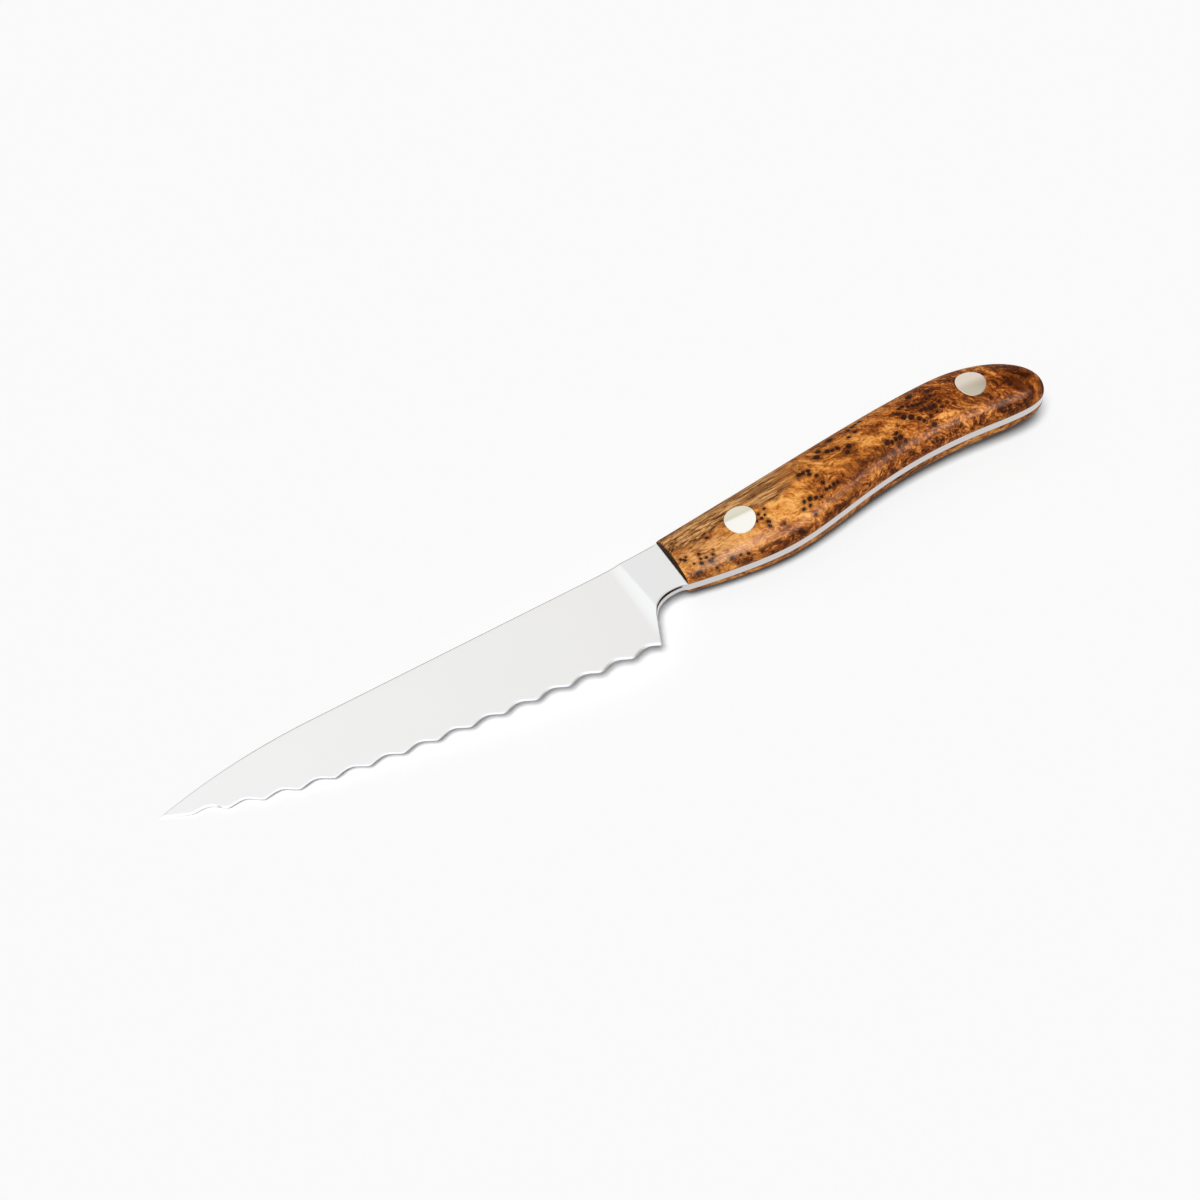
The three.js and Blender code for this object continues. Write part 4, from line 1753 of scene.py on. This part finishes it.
@dataclass
class Rivet:
    """Two-part rivet with heads ground level with the scales, in millimetres."""

    name: str
    station: float
    height: float
    handle: HandleLines
    head_radius: float = 4.0
    shank_radius: float = 2.5
    stud_radius: float = 1.5
    stud_length: float = 5.0
    bore_depth: float = 5.5
    seat: float = 3.92
    seat_gap: float = 0.02
    gap: float = 0.05
    rim: float = 0.1
    segments: int = 72
    rings: int = 14

    RIM_TURNS = (30, 60, 90)
    RIM_SHARE = 0.9
    OVER_SEAT = 0.5

    @property
    def centre(self) -> Pair:
        """Give the place of the rivet in the plane of the steel."""
        return (self.station, self.height)

    def node(self, side: Side) -> str:
        """Give the frame node of one half: the bolt's head is on the left, the nut's on the right."""
        return f"{self.name}_bolt" if side is Side.LEFT else f"{self.name}_nut"

    def profile(self, side: Side) -> list[Pair]:
        """Give radius and height of the turned part under the head, from its seat inwards.

        Args:
            side: Left for the half with the stud, right for the half with the bore.

        Returns:
            Radius and height over the mid-plane, in order.
        """
        bolt = side is Side.LEFT
        level = self.seat_gap if bolt else 0.0
        radius = self.stud_radius if bolt else self.stud_radius + self.gap
        end = -self.stud_length if bolt else self.bore_depth
        shank = [(self.head_radius, self.seat), (self.shank_radius, self.seat), (self.shank_radius, level)]
        return shank + [(radius, level), (radius, end), (0.0, end)]

    def build(self, side: Side) -> bpy.types.Mesh:
        """Turn one half of the rivet and fit its head to the crown.

        Args:
            side: Side of its head.

        Returns:
            The mesh.
        """
        flat = self.head_radius - self.rim
        tops = [(radius, 0.0) for radius in np.linspace(0, flat, self.rings)]
        for angle in np.radians(self.RIM_TURNS):
            tops.append((flat + self.rim * math.sin(angle), self.rim * (1 - math.cos(angle))))
        rows = []
        for radius, sunk in tops:
            ring = circle(self.centre, radius, self.segments)
            rows.append(np.column_stack([ring, self.handle.above(*ring.T) - sunk]))
        for radius, level in self.profile(side):
            ring = circle(self.centre, radius, self.segments)
            rows.append(np.column_stack([ring, np.full(self.segments, level)]))
        grid = side.mirrored(np.stack(rows))
        faces = grid_faces(len(rows), self.segments)
        mesh = Blank(grid.reshape(-1, 3), faces).mesh(self.node(side))
        self._smooth(mesh, side)
        return mesh

    def _smooth(self, mesh: bpy.types.Mesh, side: Side) -> None:
        """Shade the head as a part of the crown, and the turned part by its corners.

        Args:
            mesh: Mesh of one half.
            side: Side of its head.
        """
        mesh.shade_smooth()
        mesh.set_sharp_from_angle(angle=SHARP_ANGLE)
        own = side.mirrored(knife_frame(mesh))
        away = np.hypot(own[:, 0] - self.station, own[:, 1] - self.height)
        inside = away < self.head_radius - self.rim * self.RIM_SHARE
        on_top = (own[:, 2] > self.seat + self.OVER_SEAT) & inside
        outward = RESTING.turned(side.mirrored(self.handle.outward(own)))
        normals = np.empty(len(mesh.loops) * 3)
        mesh.corner_normals.foreach_get("vector", normals)
        normals = normals.reshape(-1, 3)
        corner = np.empty(len(mesh.loops), int)
        mesh.loops.foreach_get("vertex_index", corner)
        normals[on_top[corner]] = outward[corner][on_top[corner]]
        mesh.normals_split_custom_set(normals.tolist())


@dataclass(frozen=True)
class RoomPatch:
    """Round patch of the room that shows in reflections, placed in degrees from the camera's heading."""

    azimuth: float
    elevation: float
    radius: float
    softness: float
    colour: Colour


@dataclass(frozen=True)
class Strip:
    """Strip lamp for the polished wood: its way and size in degrees, its level, colour and kind of light."""

    azimuth: float
    elevation: float
    wide: float
    tall: float
    level: float
    colour: Triple
    streak: bool = True

    DISTANCE = 1.1

    def hang(self, towards: Vector, lit: bpy.types.Collection) -> None:
        """Hang the strip.

        Args:
            towards: Direction from the knife to the strip.
            lit: Pieces that the strip lights.
        """
        strip = bpy.data.lights.new("strip_lamp", "AREA")
        strip.shape = "RECTANGLE"
        strip.size, strip.size_y = (
            2 * self.DISTANCE * math.tan(math.radians(angle / 2)) for angle in (self.wide, self.tall)
        )
        strip.energy = self.level * strip.size * strip.size_y * math.pi
        strip.color = self.colour
        lamp = set_in_scene("strip_lamp", strip)
        lamp.location = towards * self.DISTANCE
        point_to(lamp, towards)
        lamp.visible_diffuse = not self.streak
        lamp.visible_glossy = self.streak
        lamp.light_linking.receiver_collection = lit


@dataclass(frozen=True)
class Studio:
    """Pale table, soft light and the camera."""

    camera_place: Triple = (-205.446, -335.244, 509.452)
    heading: Pair = (0.5075, 0.8616)
    look_down: float = math.radians(52)
    lens: float = 78.0
    film_width: float = 36.0
    sight: Pair = (0.01, 50.0)
    table_half: float = 6.0
    table_colour: Colour = (0.8, 0.8, 0.8, 1.0)
    lamp_way: Pair = (-165.0, 61.0)
    lamp_spread: float = 20.0
    lamp_level: float = 3.866
    strips: tuple[Strip, ...] = (
        Strip(143.0, 47.0, 15.0, 30.0, 46.0, (1.0, 0.92, 0.83)),
        Strip(120.0, 22.0, 22.0, 16.0, 34.0, (1.0, 0.78, 0.64)),
        Strip(35.0, 12.0, 80.0, 30.0, 1.3, (1.0, 0.97, 0.92), streak=False),
    )
    fill_colour: Colour = (0.12, 0.12, 0.12, 1.0)
    backdrop_colour: Colour = (0.957, 0.957, 0.957, 1.0)
    wall_colour: Colour = (0.89, 0.875, 0.82, 1.0)
    patches: tuple[RoomPatch, ...] = (
        RoomPatch(30.0, 25.0, 30.0, 12.0, (0.87, 0.78, 0.77, 1.0)),
        RoomPatch(60.0, 32.0, 33.5, 11.0, (0.27, 0.19, 0.12, 1.0)),
        RoomPatch(102.0, 14.0, 46.0, 6.0, (0.03, 0.027, 0.025, 1.0)),
        RoomPatch(-90.0, 70.0, 38.0, 6.0, (0.8, 0.785, 0.72, 1.0)),
        RoomPatch(-90.0, 70.0, 33.0, 2.5, (1.13, 1.15, 1.24, 1.0)),
        RoomPatch(-58.0, 57.0, 15.0, 5.0, (0.94, 0.93, 0.9, 1.0)),
    )

    def aside(self, azimuth: float, elevation: float) -> Vector:
        """Give a direction by its angles from the camera's heading.

        Args:
            azimuth: Degrees to the right of the heading.
            elevation: Degrees above the table.

        Returns:
            The direction, of length one.
        """
        a, e = math.radians(azimuth), math.radians(elevation)
        ahead = Vector((*self.heading, 0))
        right = Vector((self.heading[1], -self.heading[0], 0))
        return (ahead * math.cos(a) + right * math.sin(a)) * math.cos(e) + Vector((0, 0, math.sin(e)))

    def set_table(self) -> None:
        """Lay the pale table top."""
        mesh = bpy.data.meshes.new("table")
        h = self.table_half
        mesh.from_pydata([(-h, -h, 0), (h, -h, 0), (h, h, 0), (-h, h, 0)], [], [(0, 1, 2, 3)])
        table = set_in_scene("table", mesh)
        made = bpy.data.materials.new("pale_table")
        made.use_nodes = True
        board = NodeBoard(made.node_tree)
        shader = board.add("ShaderNodeBsdfDiffuse", {"Color": self.table_colour})
        board.add("ShaderNodeOutputMaterial", {"Surface": shader.outputs[0]})
        mesh.materials.append(made)

    def set_lamps(self, polished: list[bpy.types.Object]) -> None:
        """Hang a soft lamp behind the camera, and strips that light the polished wood alone.

        The wood in turn throws no colour on the table and the steel.

        Args:
            polished: Pieces of polished wood.
        """
        soft = bpy.data.lights.new("soft_lamp", "SUN")
        soft.angle = math.radians(self.lamp_spread)
        soft.energy = self.lamp_level
        lamp = set_in_scene("soft_lamp", soft)
        point_to(lamp, self.aside(*self.lamp_way))
        lamp.visible_glossy = False
        lit = bpy.data.collections.new("polished_wood")
        for piece in polished:
            lit.objects.link(piece)
            piece.visible_diffuse = False
            piece.visible_glossy = False
        for strip in self.strips:
            strip.hang(self.aside(strip.azimuth, strip.elevation), lit)

    def _reflected(self, board: NodeBoard) -> Any:
        """Paint the room that shows in reflections, patch over patch on plain walls.

        Args:
            board: Board of the room.

        Returns:
            The colour of the room in each direction.
        """
        way = board.add("ShaderNodeTexCoord").outputs["Generated"]
        painted: Any = self.wall_colour
        for patch in self.patches:
            shares = {0: way, 1: self.aside(patch.azimuth, patch.elevation)}
            near = board.add("ShaderNodeVectorMath", shares, operation="DOT_PRODUCT").outputs["Value"]
            border = [math.cos(math.radians(patch.radius + step * patch.softness)) for step in (1, -1)]
            painted = board.mixed(board.ease(near, *border), painted, patch.colour)
        return painted

    def set_room(self) -> None:
        """Surround the table with a room: a faint even fill, patches in reflections and a pale backdrop."""
        room = bpy.data.worlds.new("pale_room")
        room.use_nodes = True
        room.cycles.sampling_method = "NONE"
        board = NodeBoard(room.node_tree)
        path = board.add("ShaderNodeLightPath").outputs
        even, seen, behind = (
            board.add("ShaderNodeBackground", {"Color": colour, "Strength": 1.0}).outputs[0]
            for colour in (self.fill_colour, self._reflected(board), self.backdrop_colour)
        )
        lit = board.add("ShaderNodeMixShader", {0: path["Is Glossy Ray"], 1: even, 2: seen}).outputs[0]
        shown = board.add("ShaderNodeMixShader", {0: path["Is Camera Ray"], 1: lit, 2: behind}).outputs[0]
        board.add("ShaderNodeOutputWorld", {"Surface": shown})
        bpy.context.scene.world = room

    def set_camera(self) -> None:
        """Set the camera up in front of the belly of the knife, looking down."""
        lens = bpy.data.cameras.new("camera")
        lens.lens = self.lens
        lens.sensor_width = self.film_width
        lens.clip_start, lens.clip_end = self.sight
        camera = set_in_scene("camera", lens)
        camera.location = Vector(self.camera_place) * MM
        down = Vector((0, 0, math.sin(self.look_down)))
        point_to(camera, Vector((*self.heading, 0)) * math.cos(self.look_down) - down, "-Z")
        bpy.context.scene.camera = camera

    def set_up(self, polished: list[bpy.types.Object]) -> None:
        """Set up table, light and camera.

        Args:
            polished: Pieces of polished wood.
        """
        self.set_table()
        self.set_lamps(polished)
        self.set_room()
        self.set_camera()
        bpy.context.scene.view_settings.view_transform = "Standard"


def main() -> None:
    """Build the knife piece by piece, dress it and set up the studio."""
    logging.basicConfig(level=logging.INFO, format="%(name)s: %(message)s")
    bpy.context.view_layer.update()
    effects = Effects()
    handle = HandleLines()
    front_rivet = Rivet("front_rivet", station=handle.front + 18.9, height=-2.75, handle=handle)
    rear_rivet = Rivet("rear_rivet", station=handle.end - 19.2, height=2.25, handle=handle)
    rivets = (front_rivet, rear_rivet)
    centres = [rivet.centre for rivet in rivets]

    blade = Blade(handle)
    mesh = blade.build()
    blade.dress(mesh, effects)
    add_piece(mesh, "blade")

    burl = Burl().material(effects)
    end_grain = EndGrain().material(effects)
    glue = HardGlue().material(effects)
    polished = []
    for side in Side:
        scale = Scale(handle, side, centres)
        mesh = scale.build()
        scale.dress(mesh, burl, end_grain)
        polished.append(add_piece(mesh, scale.node))
        bed = GlueBed(handle, side, centres)
        mesh = bed.build()
        mesh.materials.append(glue)
        add_piece(mesh, bed.node)

    polish = RIVET_POLISH.material(effects)
    for rivet in rivets:
        for side in Side:
            mesh = rivet.build(side)
            mesh.materials.append(polish)
            add_piece(mesh, rivet.node(side))

    Studio().set_up(polished)


if __name__ == "__main__":
    main()
